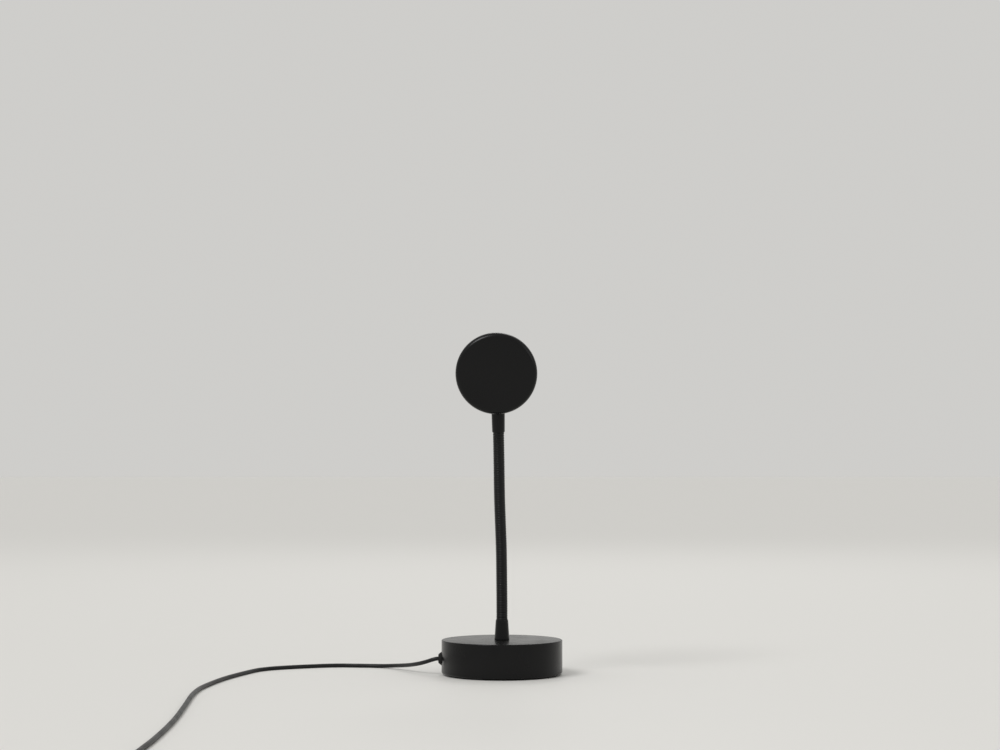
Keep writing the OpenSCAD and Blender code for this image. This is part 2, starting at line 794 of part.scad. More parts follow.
module projection_lens() {
    steps = 12;
    span = asin(dome_r / lens_curve_r);
    curve = arc([0, lens_front_y + lens_bulge - lens_curve_r], lens_curve_r, 90 - span, 90, steps);
    color([0.85, 0.9, 0.95, 0.4]) at_head() turned(concat(
        [[0, lens_back_y], [lens_r, lens_back_y], [lens_r, lens_front_y]], curve
    ));
}

module front_ring() {
    lip = 0.8;
    color(black) at_head() turned([
        [ring_bore_r, lens_front_y], [lens_r + 1.6, lens_front_y], [lens_r + 1.6, barrel_front_y],
        [barrel_r, barrel_front_y], [barrel_r, barrel_front_y + ring_w - lip],
        [barrel_r - lip, barrel_front_y + ring_w], [ring_bore_r + lip, barrel_front_y + ring_w],
        [ring_bore_r, barrel_front_y + ring_w - lip]
    ]);
}

// ---------- Cord, switch and plug ----------

module power_cord() {
    color(rubber_black) swept(finer(concat(route_start, route_lay)), cord_r);
}

module cord_coil() {
    color(rubber_black) translate([coil_at[0], coil_at[1], 0]) rotate_extrude() polygon([
        [coil_hole_r, 1], [coil_hole_r + 1, 0], [coil_r - 1, 0], [coil_r, 1],
        [coil_r, coil_h - 1], [coil_r - 1, coil_h], [coil_hole_r + 1, coil_h], [coil_hole_r, coil_h - 1]
    ]);
}

// A clip over the coil's turns, away from where the cord enters and leaves
module coil_tie() {
    t = 0.8;
    color("dimgray") translate([coil_at[0], coil_at[1], 0]) rotate([0, 0, 35])
        rotate_extrude(angle = 14) difference() {
            translate([coil_hole_r - t, 0]) square([coil_r - coil_hole_r + 2 * t, coil_h + t]);
            polygon([
                [coil_hole_r, -1], [coil_r, -1], [coil_r, coil_h - 1], [coil_r - 1, coil_h],
                [coil_hole_r + 1, coil_h], [coil_hole_r, coil_h - 1]
            ]);
        }
}

module switch_cord() {
    color(rubber_black) swept([
        [coil_at[0], tail_y, tail_z], [coil_at[0] + 5.5, tail_y, tail_z],
        [coil_at[0] + 11, tail_y, tail_z], [coil_at[0] + 16.5, tail_y, tail_z],
        [switch_x - switch_len / 2, tail_y, tail_z]
    ], cord_r);
}

module at_switch() {
    translate([switch_x, tail_y, 0]) children();
}

rocker_l = 12;
rocker_w = 6.4;
pivot_r = 1;
pivot_z = switch_h - 2.2;
seam_z = switch_h / 2;

module switch_hollow() {
    translate([-8.5, -switch_w / 2 + 1.8, 1.6]) cube([17, switch_w - 3.6, switch_h - 3]);
}

module switch_case_bottom() {
    color(black) at_switch() difference() {
        round_bar(switch_len, switch_w, seam_z);
        switch_hollow();
    }
}

module switch_case_top() {
    color(black) at_switch() difference() {
        translate([0, 0, seam_z]) round_bar(switch_len, switch_w, switch_h - seam_z);
        switch_hollow();
        translate([-rocker_l / 2 - gap, -rocker_w / 2 - gap, seam_z])
            cube([rocker_l + 2 * gap, rocker_w + 2 * gap, switch_h]);
        translate([0, 0, pivot_z]) rotate([90, 0, 0])
            cylinder(r = pivot_r + pin_fit, h = switch_w - 2.4, center = true, $fn = 32);
    }
}

module switch_rocker() {
    color([0.12, 0.12, 0.125]) at_switch() translate([0, 0, pivot_z]) rotate([0, rocker_tilt, 0]) {
        rotate([90, 0, 0]) translate([0, 0, -rocker_w / 2]) linear_extrude(rocker_w) polygon([
            [-rocker_l / 2 + 0.2, 0.2], [-3, -1.6], [3, -1.6], [rocker_l / 2 - 0.2, 0.2],
            [rocker_l / 2, 1.6], [rocker_l / 2 - 0.6, 3.3], [0, 2.5],
            [-rocker_l / 2 + 0.6, 3.3], [-rocker_l / 2, 1.6]
        ]);
        rotate([90, 0, 0]) cylinder(r = pivot_r, h = switch_w - 2.8, center = true, $fn = 32);
    }
}

module switch_contacts() {
    color(brass) at_switch() for (s = [-1, 1]) {
        translate([s * 5 - 2.5, -2, 1.6]) cube([5, 4, 0.6]);
        translate([s * 6.4 - 0.8, -2, 1.6]) cube([1.6, 4, 2]);
    }
}

module plug_cord() {
    color(rubber_black) swept([
        [switch_end, tail_y, tail_z], [switch_end + 2, tail_y, tail_z],
        [switch_end + 0.5 * plug_gap, tail_y, (tail_z + plug_z) / 2],
        [grip_x - 2, tail_y, plug_z], [grip_x, tail_y, plug_z]
    ], cord_r);
}

module at_plug() {
    translate([grip_x, tail_y, plug_z]) children();
}

module plug_grip() {
    color(black) at_plug() difference() {
        round_block(grip_len, grip_w, grip_h, 2.4);
        for (s = [-1, 1], i = [0 : 3]) {
            translate([5 + 2.4 * i, s * grip_w / 2 - 0.4, -grip_h]) cube([1.1, 0.8, 2 * grip_h]);
        }
        translate([grip_len - 3, -usb_w / 2, -usb_h / 2]) cube([4, usb_w, usb_h]);
    }
}

module plug_shell() {
    color("silver") at_plug() translate([grip_len - 3, 0, 0]) difference() {
        translate([0, -usb_w / 2, -usb_h / 2]) cube([usb_len + 3, usb_w, usb_h]);
        translate([usb_wall, -usb_w / 2 + usb_wall, -usb_h / 2 + usb_wall])
            cube([usb_len + 4, usb_w - 2 * usb_wall, usb_h - 2 * usb_wall]);
        for (s = [-1, 1]) {
            translate([8, s * 2.8 - 1.2, 0]) cube([2.4, 2.4, usb_h]);
        }
    }
}

module plug_tongue() {
    color("white") at_plug()
        translate([grip_len - 3 + usb_wall, -usb_w / 2 + usb_wall, -usb_h / 2 + usb_wall])
            cube([usb_len + 2.2 - usb_wall, usb_w - 2 * usb_wall, 1.7]);
}

module plug_contacts() {
    top = -usb_h / 2 + usb_wall + 1.7;
    color("gold") at_plug() for (i = [-1.5, -0.5, 0.5, 1.5]) {
        translate([grip_len + 3.5, i * 2.4 - 0.5, top]) cube([7.4, 1, 0.12]);
    }
}

// ---------- Assembly ----------

base_shell();
base_bottom_plate();
base_counterweight();
base_foot_pad();
base_screws();
driver_board();
driver_parts();
board_pillars();
inlet_leads();
base_leads();
outlet_bush();
cord_inner_end();
lower_ferrule();
lower_washer();
lower_nut();
neck_link(0);  // neck_link_01
neck_link(1);  // neck_link_02
neck_link(2);  // neck_link_03
neck_link(3);  // neck_link_04
neck_link(4);  // neck_link_05
neck_link(5);  // neck_link_06
neck_link(6);  // neck_link_07
neck_link(7);  // neck_link_08
neck_link(8);  // neck_link_09
neck_link(9);  // neck_link_10
neck_link(10);  // neck_link_11
neck_link(11);  // neck_link_12
neck_link(12);  // neck_link_13
neck_leads();
upper_ferrule();
upper_washer();
upper_nut();
head_housing();
rear_cover();
heat_sink();
led_board();
led_emitter();
led_screws();
head_leads();
reflector_cup();
sunset_filter();
filter_holder();
lens_barrel();
lens_gasket();
projection_lens();
front_ring();
power_cord();
cord_coil();
coil_tie();
switch_cord();
switch_case_bottom();
switch_case_top();
switch_rocker();
switch_contacts();
plug_cord();
plug_grip();
plug_shell();
plug_tongue();
plug_contacts();
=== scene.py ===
"""Looks of a sunset projection lamp: its turned shells, wound neck, optics, cord, switch and plug.

Sizes in the classes are millimetres, as on a drawing, and become metres where a shape is made.
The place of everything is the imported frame's: +Z is up, the origin is the middle of the foot on
the table, and the light leaves towards +Y.
"""

import json
import logging
import math
from collections.abc import Callable, Iterable, Iterator, Sequence
from contextlib import contextmanager
from dataclasses import dataclass, field
from enum import Enum
from itertools import pairwise
from typing import Any

import bmesh
import bpy
from mathutils import Matrix, Vector

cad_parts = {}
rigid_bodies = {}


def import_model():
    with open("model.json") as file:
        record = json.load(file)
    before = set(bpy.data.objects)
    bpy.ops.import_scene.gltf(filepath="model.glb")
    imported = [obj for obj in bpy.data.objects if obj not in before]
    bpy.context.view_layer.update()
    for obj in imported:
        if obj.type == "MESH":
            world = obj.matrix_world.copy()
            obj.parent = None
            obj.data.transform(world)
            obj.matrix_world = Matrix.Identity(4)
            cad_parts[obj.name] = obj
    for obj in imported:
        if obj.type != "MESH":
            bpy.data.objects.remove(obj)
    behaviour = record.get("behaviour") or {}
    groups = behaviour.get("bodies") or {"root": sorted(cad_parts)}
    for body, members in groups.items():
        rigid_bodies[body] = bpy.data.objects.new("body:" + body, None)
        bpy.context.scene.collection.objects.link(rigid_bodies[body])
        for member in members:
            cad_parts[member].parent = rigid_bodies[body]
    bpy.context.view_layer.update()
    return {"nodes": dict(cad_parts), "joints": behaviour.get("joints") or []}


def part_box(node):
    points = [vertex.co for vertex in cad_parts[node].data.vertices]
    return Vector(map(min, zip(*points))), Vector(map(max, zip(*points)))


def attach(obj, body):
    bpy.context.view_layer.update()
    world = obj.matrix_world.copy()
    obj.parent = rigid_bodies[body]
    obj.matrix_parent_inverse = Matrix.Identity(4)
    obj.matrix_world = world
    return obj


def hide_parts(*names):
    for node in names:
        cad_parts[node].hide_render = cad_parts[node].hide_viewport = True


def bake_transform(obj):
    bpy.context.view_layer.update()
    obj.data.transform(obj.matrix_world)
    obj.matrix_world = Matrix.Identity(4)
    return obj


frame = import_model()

MM = 0.001
NEAR = 0.01  # Places that are closer than this, in millimetres, are taken as one.
WELD = 0.002  # Points that are closer than this, in millimetres, are merged.
ALONG = 0.9  # The least share of a direction that runs along an axis.
SMOOTHEST = 0.02  # The least roughness that a drifting gloss comes down to.
LOG = logging.getLogger("lamp")

Object = bpy.types.Object
Tree = bpy.types.NodeTree
Node = bpy.types.Node
Socket = bpy.types.NodeSocket
Point = tuple[float, float]


# ---------- Modelling ----------


class Carving(Enum):
    """What a tool shape does to a piece."""

    FUSE = "UNION"
    CUT = "DIFFERENCE"


class Part(Enum):
    """What is selected of a piece in edit mode."""

    POINT = "VERT"
    EDGE = "EDGE"
    FACE = "FACE"


def deselect() -> None:
    """Clears the selection, which every operator and the loaded frame leave behind."""
    bpy.ops.object.select_all(action="DESELECT")


def activate(piece: Object) -> None:
    """Makes a piece the only one that operators act on."""
    deselect()
    piece.select_set(True)
    bpy.context.view_layer.objects.active = piece


@contextmanager
def editing(piece: Object) -> Iterator[None]:
    """Opens a piece for editing, with all its points selected, and closes it again."""
    activate(piece)
    bpy.ops.object.mode_set(mode="EDIT")
    bpy.ops.mesh.select_mode(type="VERT")
    bpy.ops.mesh.select_all(action="SELECT")
    yield
    bpy.ops.object.mode_set(mode="OBJECT")


def scaled(values: Iterable[float]) -> tuple[float, ...]:
    """Returns millimetres as metres."""
    return tuple(value * MM for value in values)


def shift(x: float, y: float, z: float) -> Matrix:
    """Returns a move along X, Y and Z, in millimetres."""
    return Matrix.Translation(scaled((x, y, z)))


def swing(degrees: float, axis: str) -> Matrix:
    """Returns a turn round the X, Y or Z axis, in degrees."""
    return Matrix.Rotation(math.radians(degrees), 4, axis)


class Axis(Enum):
    """Which way a turned piece's axis lies once it is in place."""

    LIGHT = swing(-90, "X")
    LEFT = swing(-90, "Y")


def started(name: str) -> Object:
    """Names the primitive that was just added and puts its place and size into its mesh."""
    piece = bpy.context.object
    piece.name = name
    bpy.ops.object.transform_apply(location=True, rotation=True, scale=True)
    return piece


def extrude(x: float, y: float, z: float) -> None:
    """Extrudes what is selected along X, Y and Z, in millimetres."""
    bpy.ops.mesh.extrude_region_move(TRANSFORM_OT_translate={"value": scaled((x, y, z))})


def pick(piece: Object, part: Part, wanted: Callable[[Any], bool]) -> None:
    """Selects the points, edges or faces that a test asks for.

    Args:
        piece: the piece, open for editing.
        part: what is selected.
        wanted: says of a point, an edge or a face if it is selected.
    """
    bpy.ops.mesh.select_mode(type=part.value)
    bpy.ops.mesh.select_all(action="DESELECT")
    mesh = bmesh.from_edit_mesh(piece.data)
    parts = {Part.POINT: mesh.verts, Part.EDGE: mesh.edges, Part.FACE: mesh.faces}[part]
    for element in parts:
        element.select_set(wanted(element))
    mesh.select_flush_mode()
    bmesh.update_edit_mesh(piece.data)


def modified(piece: Object, kind: str, **settings: object) -> Object:
    """Adds a modifier to a piece and applies it.

    Args:
        piece: the piece.
        kind: Blender's name for the modifier's kind.
        **settings: the modifier's own settings.

    Returns:
        The same piece.
    """
    activate(piece)
    modifier = piece.modifiers.new(kind.title(), kind)
    for name, value in settings.items():
        setattr(modifier, name, value)
    bpy.ops.object.modifier_apply(modifier=modifier.name)
    return piece


def eased(piece: Object, width: float, segments: int = 3, over: float = 32) -> Object:
    """Breaks a piece's sharp edges, as a file or a mould's radius does.

    Args:
        piece: the piece.
        width: the width of each broken edge.
        segments: facets across it.
        over: edges sharper than this many degrees are broken.

    Returns:
        The same piece.
    """
    return modified(
        piece, "BEVEL", width=width * MM, segments=segments, limit_method="ANGLE",
        angle_limit=math.radians(over), use_clamp_overlap=True,
    )


def smoothed(piece: Object, over: float = 35) -> Object:
    """Shades a piece smooth where its faces meet at less than an angle, in degrees."""
    activate(piece)
    bpy.ops.object.shade_smooth_by_angle(angle=math.radians(over))
    return piece


def settled(piece: Object, place: Matrix) -> Object:
    """Moves a piece to its place and puts that place into its mesh.

    Args:
        piece: the piece, modelled at the origin.
        place: where it goes in the frame.

    Returns:
        The same piece.
    """
    activate(piece)
    piece.matrix_world = place
    bpy.ops.object.transform_apply(location=True, rotation=True, scale=True)
    return piece


def carved(piece: Object, tool: Object, how: Carving) -> Object:
    """Fuses a tool shape to a piece or cuts it out, and removes the tool.

    Args:
        piece: the piece.
        tool: the tool shape.
        how: fuse or cut.

    Returns:
        The same piece.
    """
    modified(piece, "BOOLEAN", object=tool, operation=how.value, solver="EXACT")
    bpy.data.objects.remove(tool)
    return piece


def joined(piece: Object, *others: Object) -> Object:
    """Joins other pieces into one piece's mesh and returns it."""
    activate(piece)
    for other in others:
        other.select_set(True)
    bpy.ops.object.join()
    return piece


def drawn(name: str, outline: Sequence[Point]) -> Object:
    """Draws a line of edges in the XZ plane by extruding one vertex from point to point.

    Args:
        name: the new piece's name.
        outline: X and Z of each point, in millimetres.

    Returns:
        The piece, still only a line.
    """
    deselect()
    bpy.ops.mesh.primitive_plane_add(size=MM)
    piece = started(name)
    with editing(piece):
        bpy.ops.mesh.merge(type="CENTER")
        x, z = outline[0]
        bpy.ops.transform.translate(value=scaled((x, 0, z)))
        for (x0, z0), (x1, z1) in pairwise(outline):
            extrude(x1 - x0, 0, z1 - z0)
    return piece


def cleaned(piece: Object) -> Object:
    """Merges a piece's doubled points and turns all its faces outwards."""
    with editing(piece):
        bpy.ops.mesh.remove_doubles(threshold=WELD * MM)
        bpy.ops.mesh.normals_make_consistent(inside=False)
    return piece


def turned(name: str, outline: Sequence[Point], facets: int, ease: float = 0.0) -> Object:
    """Turns a piece round the Z axis, as on a lathe.

    Args:
        name: the piece's name.
        outline: radius and height of each point, in millimetres; it closes on itself or on
            the axis.
        facets: faces round the axis.
        ease: the width of its broken edges, or 0 for none.

    Returns:
        The piece, its axis on Z.
    """
    piece = drawn(name, outline)
    with editing(piece):
        bpy.ops.mesh.spin(steps=facets, angle=math.tau, center=(0, 0, 0), axis=(0, 0, 1))
    cleaned(piece)
    return eased(piece, ease) if ease else piece


def stretched(piece: Object, reach: float) -> Object:
    """Pulls the two halves of a turned piece apart along X, which makes a bar with round ends.

    Args:
        piece: the piece, its axis on Z.
        reach: how far each half moves, in millimetres.

    Returns:
        The same piece.
    """
    for side in (-1, 1):
        with editing(piece):
            pick(piece, Part.POINT, lambda vert: vert.co.x * side > NEAR * MM)
            bpy.ops.transform.translate(value=(side * reach * MM, 0, 0))
    return piece


def block(name: str, size: Sequence[float], centre: Sequence[float]) -> Object:
    """Adds a block, the start of a shape or a tool.

    Args:
        name: the piece's name.
        size: its length along X, Y and Z, in millimetres.
        centre: its middle, in millimetres.

    Returns:
        The block.
    """
    deselect()
    bpy.ops.mesh.primitive_cube_add(size=1, location=scaled(centre), scale=scaled(size))
    return started(name)


def rod(name: str, radius: float, length: float, place: Matrix, facets: int = 48) -> Object:
    """Adds a round rod from the origin of its place along that place's Z, in millimetres."""
    deselect()
    bpy.ops.mesh.primitive_cylinder_add(
        vertices=facets, radius=radius * MM, depth=length * MM, location=(0, 0, length * MM / 2)
    )
    return settled(started(name), place)


def rounded_edges(
    piece: Object, radius: float, segments: int, wanted: Callable[[Vector, Vector], bool]
) -> Object:
    """Rounds the edges that a test picks by their middle and direction.

    Args:
        piece: the piece.
        radius: the rounding's radius, in millimetres.
        segments: facets across it.
        wanted: says of an edge's middle, in millimetres, and its direction if it is rounded.

    Returns:
        The same piece.
    """

    def chosen(edge: bmesh.types.BMEdge) -> bool:
        """Puts the test to one edge."""
        a, b = (vert.co for vert in edge.verts)
        return wanted((a + b) / 2 / MM, (b - a).normalized())

    with editing(piece):
        pick(piece, Part.EDGE, chosen)
        bpy.ops.mesh.bevel(
            offset=radius * MM, segments=segments, affect="EDGES", clamp_overlap=True
        )
    return piece


def arc(centre: Point, radius: float, start: float, end: float, steps: int = 12) -> list[Point]:
    """Returns the points of an arc, its angles in degrees from +X towards +Z."""
    angles = [math.radians(start + (end - start) * i / steps) for i in range(steps + 1)]
    return [(centre[0] + radius * math.cos(a), centre[1] + radius * math.sin(a)) for a in angles]


def through(points: Sequence[Vector], steps: int) -> list[Vector]:
    """Runs one smooth curve through points.

    Args:
        points: the points that it passes through.
        steps: parts between two of them.

    Returns:
        The curve's points.
    """
    curve = []
    for i, (a, b) in enumerate(pairwise(points)):
        before = points[i - 1] if i else a
        after = points[i + 2] if i + 2 < len(points) else b
        for step in range(steps):
            t = step / steps
            curve.append(
                a * (2 * t**3 - 3 * t**2 + 1) + b * (3 * t**2 - 2 * t**3)
                + (b - before) / 2 * (t**3 - 2 * t**2 + t) + (after - a) / 2 * (t**3 - t**2)
            )
    return [*curve, points[-1]]


# ---------- Finishes ----------


class Slot(Enum):
    """The record's material slots."""

    BLACK_METAL = "black_metal"
    BLACK_NECK = "black_neck"
    STEEL = "steel"
    IRON = "iron"
    RUBBER = "rubber"
    BOARD_GREEN = "board_green"
    ELECTRONICS = "electronics"
    NYLON = "nylon"
    LEAD_RED = "lead_red"
    ALUMINIUM = "aluminium"
    BOARD_WHITE = "board_white"
    EMITTER = "emitter"
    REFLECTOR = "reflector"
    FILTER_GLASS = "filter_glass"
    LENS_GLASS = "lens_glass"
    CORD_BLACK = "cord_black"
    PLASTIC_BLACK = "plastic_black"
    CONTACT_METAL = "contact_metal"


def linear(colour: str) -> tuple[float, float, float, float]:
    """Turns an sRGB hex colour into the linear colour that a socket holds."""
    parts = [int(colour[i : i + 2], 16) / 255 for i in (1, 3, 5)]
    red, green, blue = (c / 12.92 if c <= 0.04045 else ((c + 0.055) / 1.055) ** 2.4 for c in parts)
    return red, green, blue, 1.0


def per_metre(size: float) -> float:
    """Turns the real size of a pattern's grain, in millimetres, into a texture's scale."""
    return 1 / (size * MM)


def add(
    tree: Tree, kind: str, inputs: dict[str | int, object] | None = None, **settings: object
) -> Node:
    """Adds a node with its settings, values and links.

    Args:
        tree: the node tree.
        kind: the node's type.
        inputs: a value, or the socket that feeds it, for each input by name or number.
        **settings: the node's own properties.

    Returns:
        The node.
    """
    made = tree.nodes.new(kind)
    for name, value in settings.items():
        setattr(made, name, value)
    for name, value in (inputs or {}).items():
        if isinstance(value, Socket):
            tree.links.new(value, made.inputs[name])
        else:
            made.inputs[name].default_value = value
    return made


def blended(ramp: Node, stops: Iterable[tuple[float, str]]) -> Socket:
    """Sets the colours of a colour ramp.

    Args:
        ramp: the ramp's node.
        stops: the places from 0 to 1 and the sRGB hex colours there.

    Returns:
        The ramp's colour.
    """
    elements = ramp.color_ramp.elements
    for i, (place, colour) in enumerate(stops):
        stop = elements[i] if i < len(elements) else elements.new(place)
        stop.position = place
        stop.color = linear(colour)
    return ramp.outputs[0]


@dataclass(frozen=True)
class Finish:
    """A finish: what the real surface is, and how its looks follow from that."""

    name: str  # Name of the material, in a maker's words
    slot: Slot  # Slot of the record that it fills
    colour: str  # Its own colour, as an sRGB hex value
    roughness: float  # From 0, polished, to 1, matt
    metallic: float = 0.0  # 1 for bare metal
    grain: float = 0.4  # Size of its fine relief, in millimetres
    relief: float = 0.004  # Height of that relief, in millimetres
    patch: float = 12.0  # Size of the patches in which its colour and gloss drift, in millimetres
    drift: float = 0.06  # How far the gloss drifts between patches
    second: str = ""  # Colour that the patches drift towards
    mirror: float = 0.5  # How much it mirrors face on, 0.5 for a plain lacquer or plastic
    patch_range: Point = (0.3, 0.7)  # Values of the patches' pattern between which the gloss drifts
    colour_range: Point = (0.35, 0.7)  # Values between which the colour drifts

    def material(self) -> bpy.types.Material:
        """Returns the material, made the first time that it is asked for."""
        made = bpy.data.materials.get(self.name)
        if made:
            return made
        made = bpy.data.materials.new(self.name)
        made.use_nodes = True
        tree = made.node_tree
        shader = tree.nodes["Principled BSDF"]
        shader.inputs["Base Color"].default_value = linear(self.colour)
        shader.inputs["Roughness"].default_value = self.roughness
        shader.inputs["Metallic"].default_value = self.metallic
        shader.inputs["Specular IOR Level"].default_value = self.mirror
        self.surface(tree, shader, add(tree, "ShaderNodeTexCoord").outputs["Object"])
        return made

    def surface(self, tree: Tree, shader: Node, place: Socket) -> None:
        """Adds what every finish has: fine relief, and patches of gloss and colour.

        Args:
            tree: the material's nodes.
            shader: its surface shader.
            place: the point in the frame.
        """
        self.patchwork(tree, shader, place)
        grains = add(tree, "ShaderNodeTexNoise", self.features(place, self.grain, 2))
        self.raised(tree, shader, grains.outputs[0])

    def features(self, place: Socket, size: float, detail: float) -> dict[str, object]:
        """Returns the inputs of a noise whose features have a real size, in millimetres."""
        return {"Vector": place, "Scale": per_metre(size), "Detail": detail, "Roughness": 0.55}

    def patchwork(self, tree: Tree, shader: Node, place: Socket, detail: float = 3) -> None:
        """Lets gloss and colour drift from patch to patch, as making and handling leave them.

        Args:
            tree: the material's nodes.
            shader: its surface shader.
            place: the point in the frame.
            detail: how finely the patches are broken up.
        """
        noise = add(tree, "ShaderNodeTexNoise", self.features(place, self.patch, detail))
        patches = noise.outputs[0]
        low, high = self.patch_range
        least = max(SMOOTHEST, self.roughness - self.drift)
        spread = {0: patches, 1: low, 2: high, 3: least, 4: self.roughness + self.drift}
        drifted = add(tree, "ShaderNodeMapRange", spread)
        tree.links.new(drifted.outputs[0], shader.inputs["Roughness"])
        self.tint(tree, shader, patches)

    def tint(self, tree: Tree, shader: Node, patches: Socket) -> None:
        """Lets the colour drift towards the second one, where the finish has one."""
        if self.second:
            ramp = add(tree, "ShaderNodeValToRGB", {0: patches})
            colour = blended(ramp, zip(self.colour_range, (self.colour, self.second)))
            tree.links.new(colour, shader.inputs["Base Color"])

    def raised(self, tree: Tree, shader: Node, height: Socket) -> None:
        """Raises the surface by a pattern, to the finish's own relief."""
        values = {"Height": height, "Distance": self.relief * MM, "Strength": 1.0}
        tree.links.new(add(tree, "ShaderNodeBump", values).outputs[0], shader.inputs["Normal"])


@dataclass(frozen=True)
class WornFinish(Finish):
    """A dark coating on metal that is rubbed lighter along its edges."""

    bare: str = "#2a2927"  # Colour of the rubbed edge, as an sRGB hex value
    wear: float = 0.4  # How much of that colour shows there
    # How pointed the surface is where the wear starts and where it is full
    edge_range: Point = (0.53, 0.62)

    def tint(self, tree: Tree, shader: Node, patches: Socket) -> None:
        """Mixes the rubbed colour in where the surface is a convex edge, broken up by patches."""
        sharp = add(tree, "ShaderNodeNewGeometry").outputs["Pointiness"]
        low, high = self.edge_range
        edge = add(tree, "ShaderNodeMapRange", {0: sharp, 1: low, 2: high, 3: 0.0, 4: self.wear})
        rubbed = add(tree, "ShaderNodeMath", {0: edge.outputs[0], 1: patches}, operation="MULTIPLY")
        mixed = add(tree, "ShaderNodeMix", {0: rubbed.outputs[0]}, data_type="RGBA")
        mixed.inputs[6].default_value = linear(self.colour)
        mixed.inputs[7].default_value = linear(self.bare)
        tree.links.new(mixed.outputs[2], shader.inputs["Base Color"])


class Lines(Enum):
    """Which way a pattern of lines repeats."""

    X = "X"
    Y = "Y"
    DIAGONAL = "DIAGONAL"


@dataclass(frozen=True)
class LinedFinish(Finish):
    """A surface with fine parallel lines, as brushing, drawing or a weave leaves them."""

    spacing: float = 0.3  # Distance between lines, in millimetres
    lines: Lines = Lines.Y  # Which way they repeat
    waver: float = 0.4  # How much they waver

    def surface(self, tree: Tree, shader: Node, place: Socket) -> None:
        """Adds the lines to the patches of gloss and colour that every finish has."""
        self.patchwork(tree, shader, place)
        scale = per_metre(self.spacing) / math.tau
        lines = add(
            tree, "ShaderNodeTexWave", {"Vector": place, "Scale": scale, "Distortion": self.waver},
            wave_type="BANDS", bands_direction=self.lines.value,
        )
        self.raised(tree, shader, lines.outputs[1])


@dataclass(frozen=True)
class BoardFinish(Finish):
    """Solder mask over copper tracks, which stand out a little and show a shade lighter."""

    track: float = 1.6  # Distance between tracks, in millimetres
    uneven: float = 0.35  # How unevenly they lie, from 0 to 1
    # Places between two tracks where one ends and the board begins
    track_range: Point = (0.38, 0.44)

    def surface(self, tree: Tree, shader: Node, place: Socket) -> None:
        """Draws square-cornered tracks under the mask."""
        values = {"Vector": place, "Scale": per_metre(self.track), "Randomness": self.uneven}
        cells = add(tree, "ShaderNodeTexVoronoi", values, feature="F1", distance="CHEBYCHEV")
        ramp = add(tree, "ShaderNodeValToRGB", {0: cells.outputs["Distance"]})
        colour = blended(ramp, zip(self.track_range, (self.second, self.colour)))
        tree.links.new(colour, shader.inputs["Base Color"])
        self.raised(tree, shader, colour)


@dataclass(frozen=True)
class Glass(Finish):
    """Polished optical glass with a thin anti-reflection coating."""

    ior: float = 1.52  # How strongly it bends light
    coating: float = 0.0  # Thickness of the coating in nanometres, which gives its faint colour
    coating_ior: float = 1.38  # How strongly the coating bends light

    def surface(self, tree: Tree, shader: Node, place: Socket) -> None:
        """Lets light through, and leaves faint wipe marks on the polish."""
        shader.inputs["Transmission Weight"].default_value = 1.0
        shader.inputs["IOR"].default_value = self.ior
        shader.inputs["Thin Film Thickness"].default_value = self.coating
        shader.inputs["Thin Film IOR"].default_value = self.coating_ior
        self.patchwork(tree, shader, place, detail=4)


@dataclass(frozen=True)
class SunsetGlass(Finish):
    """Filter glass coated in rings of colour, red in the middle and yellow at its rim."""

    share: str = "ring_share"  # Attribute that says how far from its middle a point lies, 0 to 1
    # Colours at shares of the way out
    rings: tuple[tuple[float, str], ...] = (
        (0.0, "#ff4a26"), (0.3, "#ff6a1c"), (0.6, "#ff9a12"), (0.9, "#ffc21e"), (1.0, "#ffd95a"),
    )
    painted_glow: float = 0.55  # How brightly the filter glows by its own emission: painted light standing in for the emitter's light shining through

    def surface(self, tree: Tree, shader: Node, place: Socket) -> None:
        """Colours the disc by its rings and paints the light behind it on as a glow of its own."""
        out = add(
            tree, "ShaderNodeAttribute", attribute_name=self.share, attribute_type="GEOMETRY"
        )
        ramp = add(tree, "ShaderNodeValToRGB", {0: out.outputs["Fac"]})
        colour = blended(ramp, self.rings)
        for name in ("Base Color", "Emission Color"):
            tree.links.new(colour, shader.inputs[name])
        # Painted light: the filter's emission stands in for the emitter's light shining through it.
        shader.inputs["Emission Strength"].default_value = self.painted_glow
        self.patchwork(tree, shader, place, detail=2)


# Die-cast and spun aluminium, blasted with fine beads and anodised black: a dense, even black
# with a soft sheen. The blasting's grit of 0.1 mm is drawn at 0.35 mm, so that it shows.
BLACK_ALUMINIUM = WornFinish(
    "blasted_black_anodised_aluminium", Slot.BLACK_METAL, "#070708", 0.25, mirror=0.22,
    grain=0.35, relief=0.004, patch=16, drift=0.04,
)
# Steel wire wound into a flexible tube and coated black: satin, rubbed lighter on its crests.
WOUND_WIRE = WornFinish(
    "black_coated_wound_steel_wire", Slot.BLACK_NECK, "#080809", 0.3, mirror=0.26,
    grain=0.5, relief=0.004, patch=9, drift=0.05, bare="#2c2a28",
)
# Zinc plate on pressed and cold-headed steel: pale grey, with a faint spangle.
ZINC_STEEL = Finish(
    "zinc_plated_steel", Slot.STEEL, "#b4b7ba", 0.34, metallic=1.0, grain=0.6, relief=0.005,
    patch=3, drift=0.1, second="#9da1a5",
)
# Grey iron as it comes from the sand: dark and rough, with rusty-brown specks.
CAST_IRON = Finish(
    "sand_cast_grey_iron", Slot.IRON, "#3b3a39", 0.72, metallic=0.6, grain=0.9, relief=0.06,
    patch=6, drift=0.1, second="#4a3f38",
)
# Moulded rubber: matt, with the mould's fine grain and a little bloom.
RUBBER = Finish(
    "moulded_black_rubber", Slot.RUBBER, "#111111", 0.75, grain=0.5, relief=0.012, patch=8,
    drift=0.08, second="#191919", mirror=0.25,
)
# PVC drawn over two cores: satin, faintly wavy along its length.
CORD_SKIN = Finish(
    "extruded_black_pvc", Slot.CORD_BLACK, "#0a0a0b", 0.42, grain=1.6, relief=0.02, patch=22,
    drift=0.08, second="#101011", mirror=0.3,
)
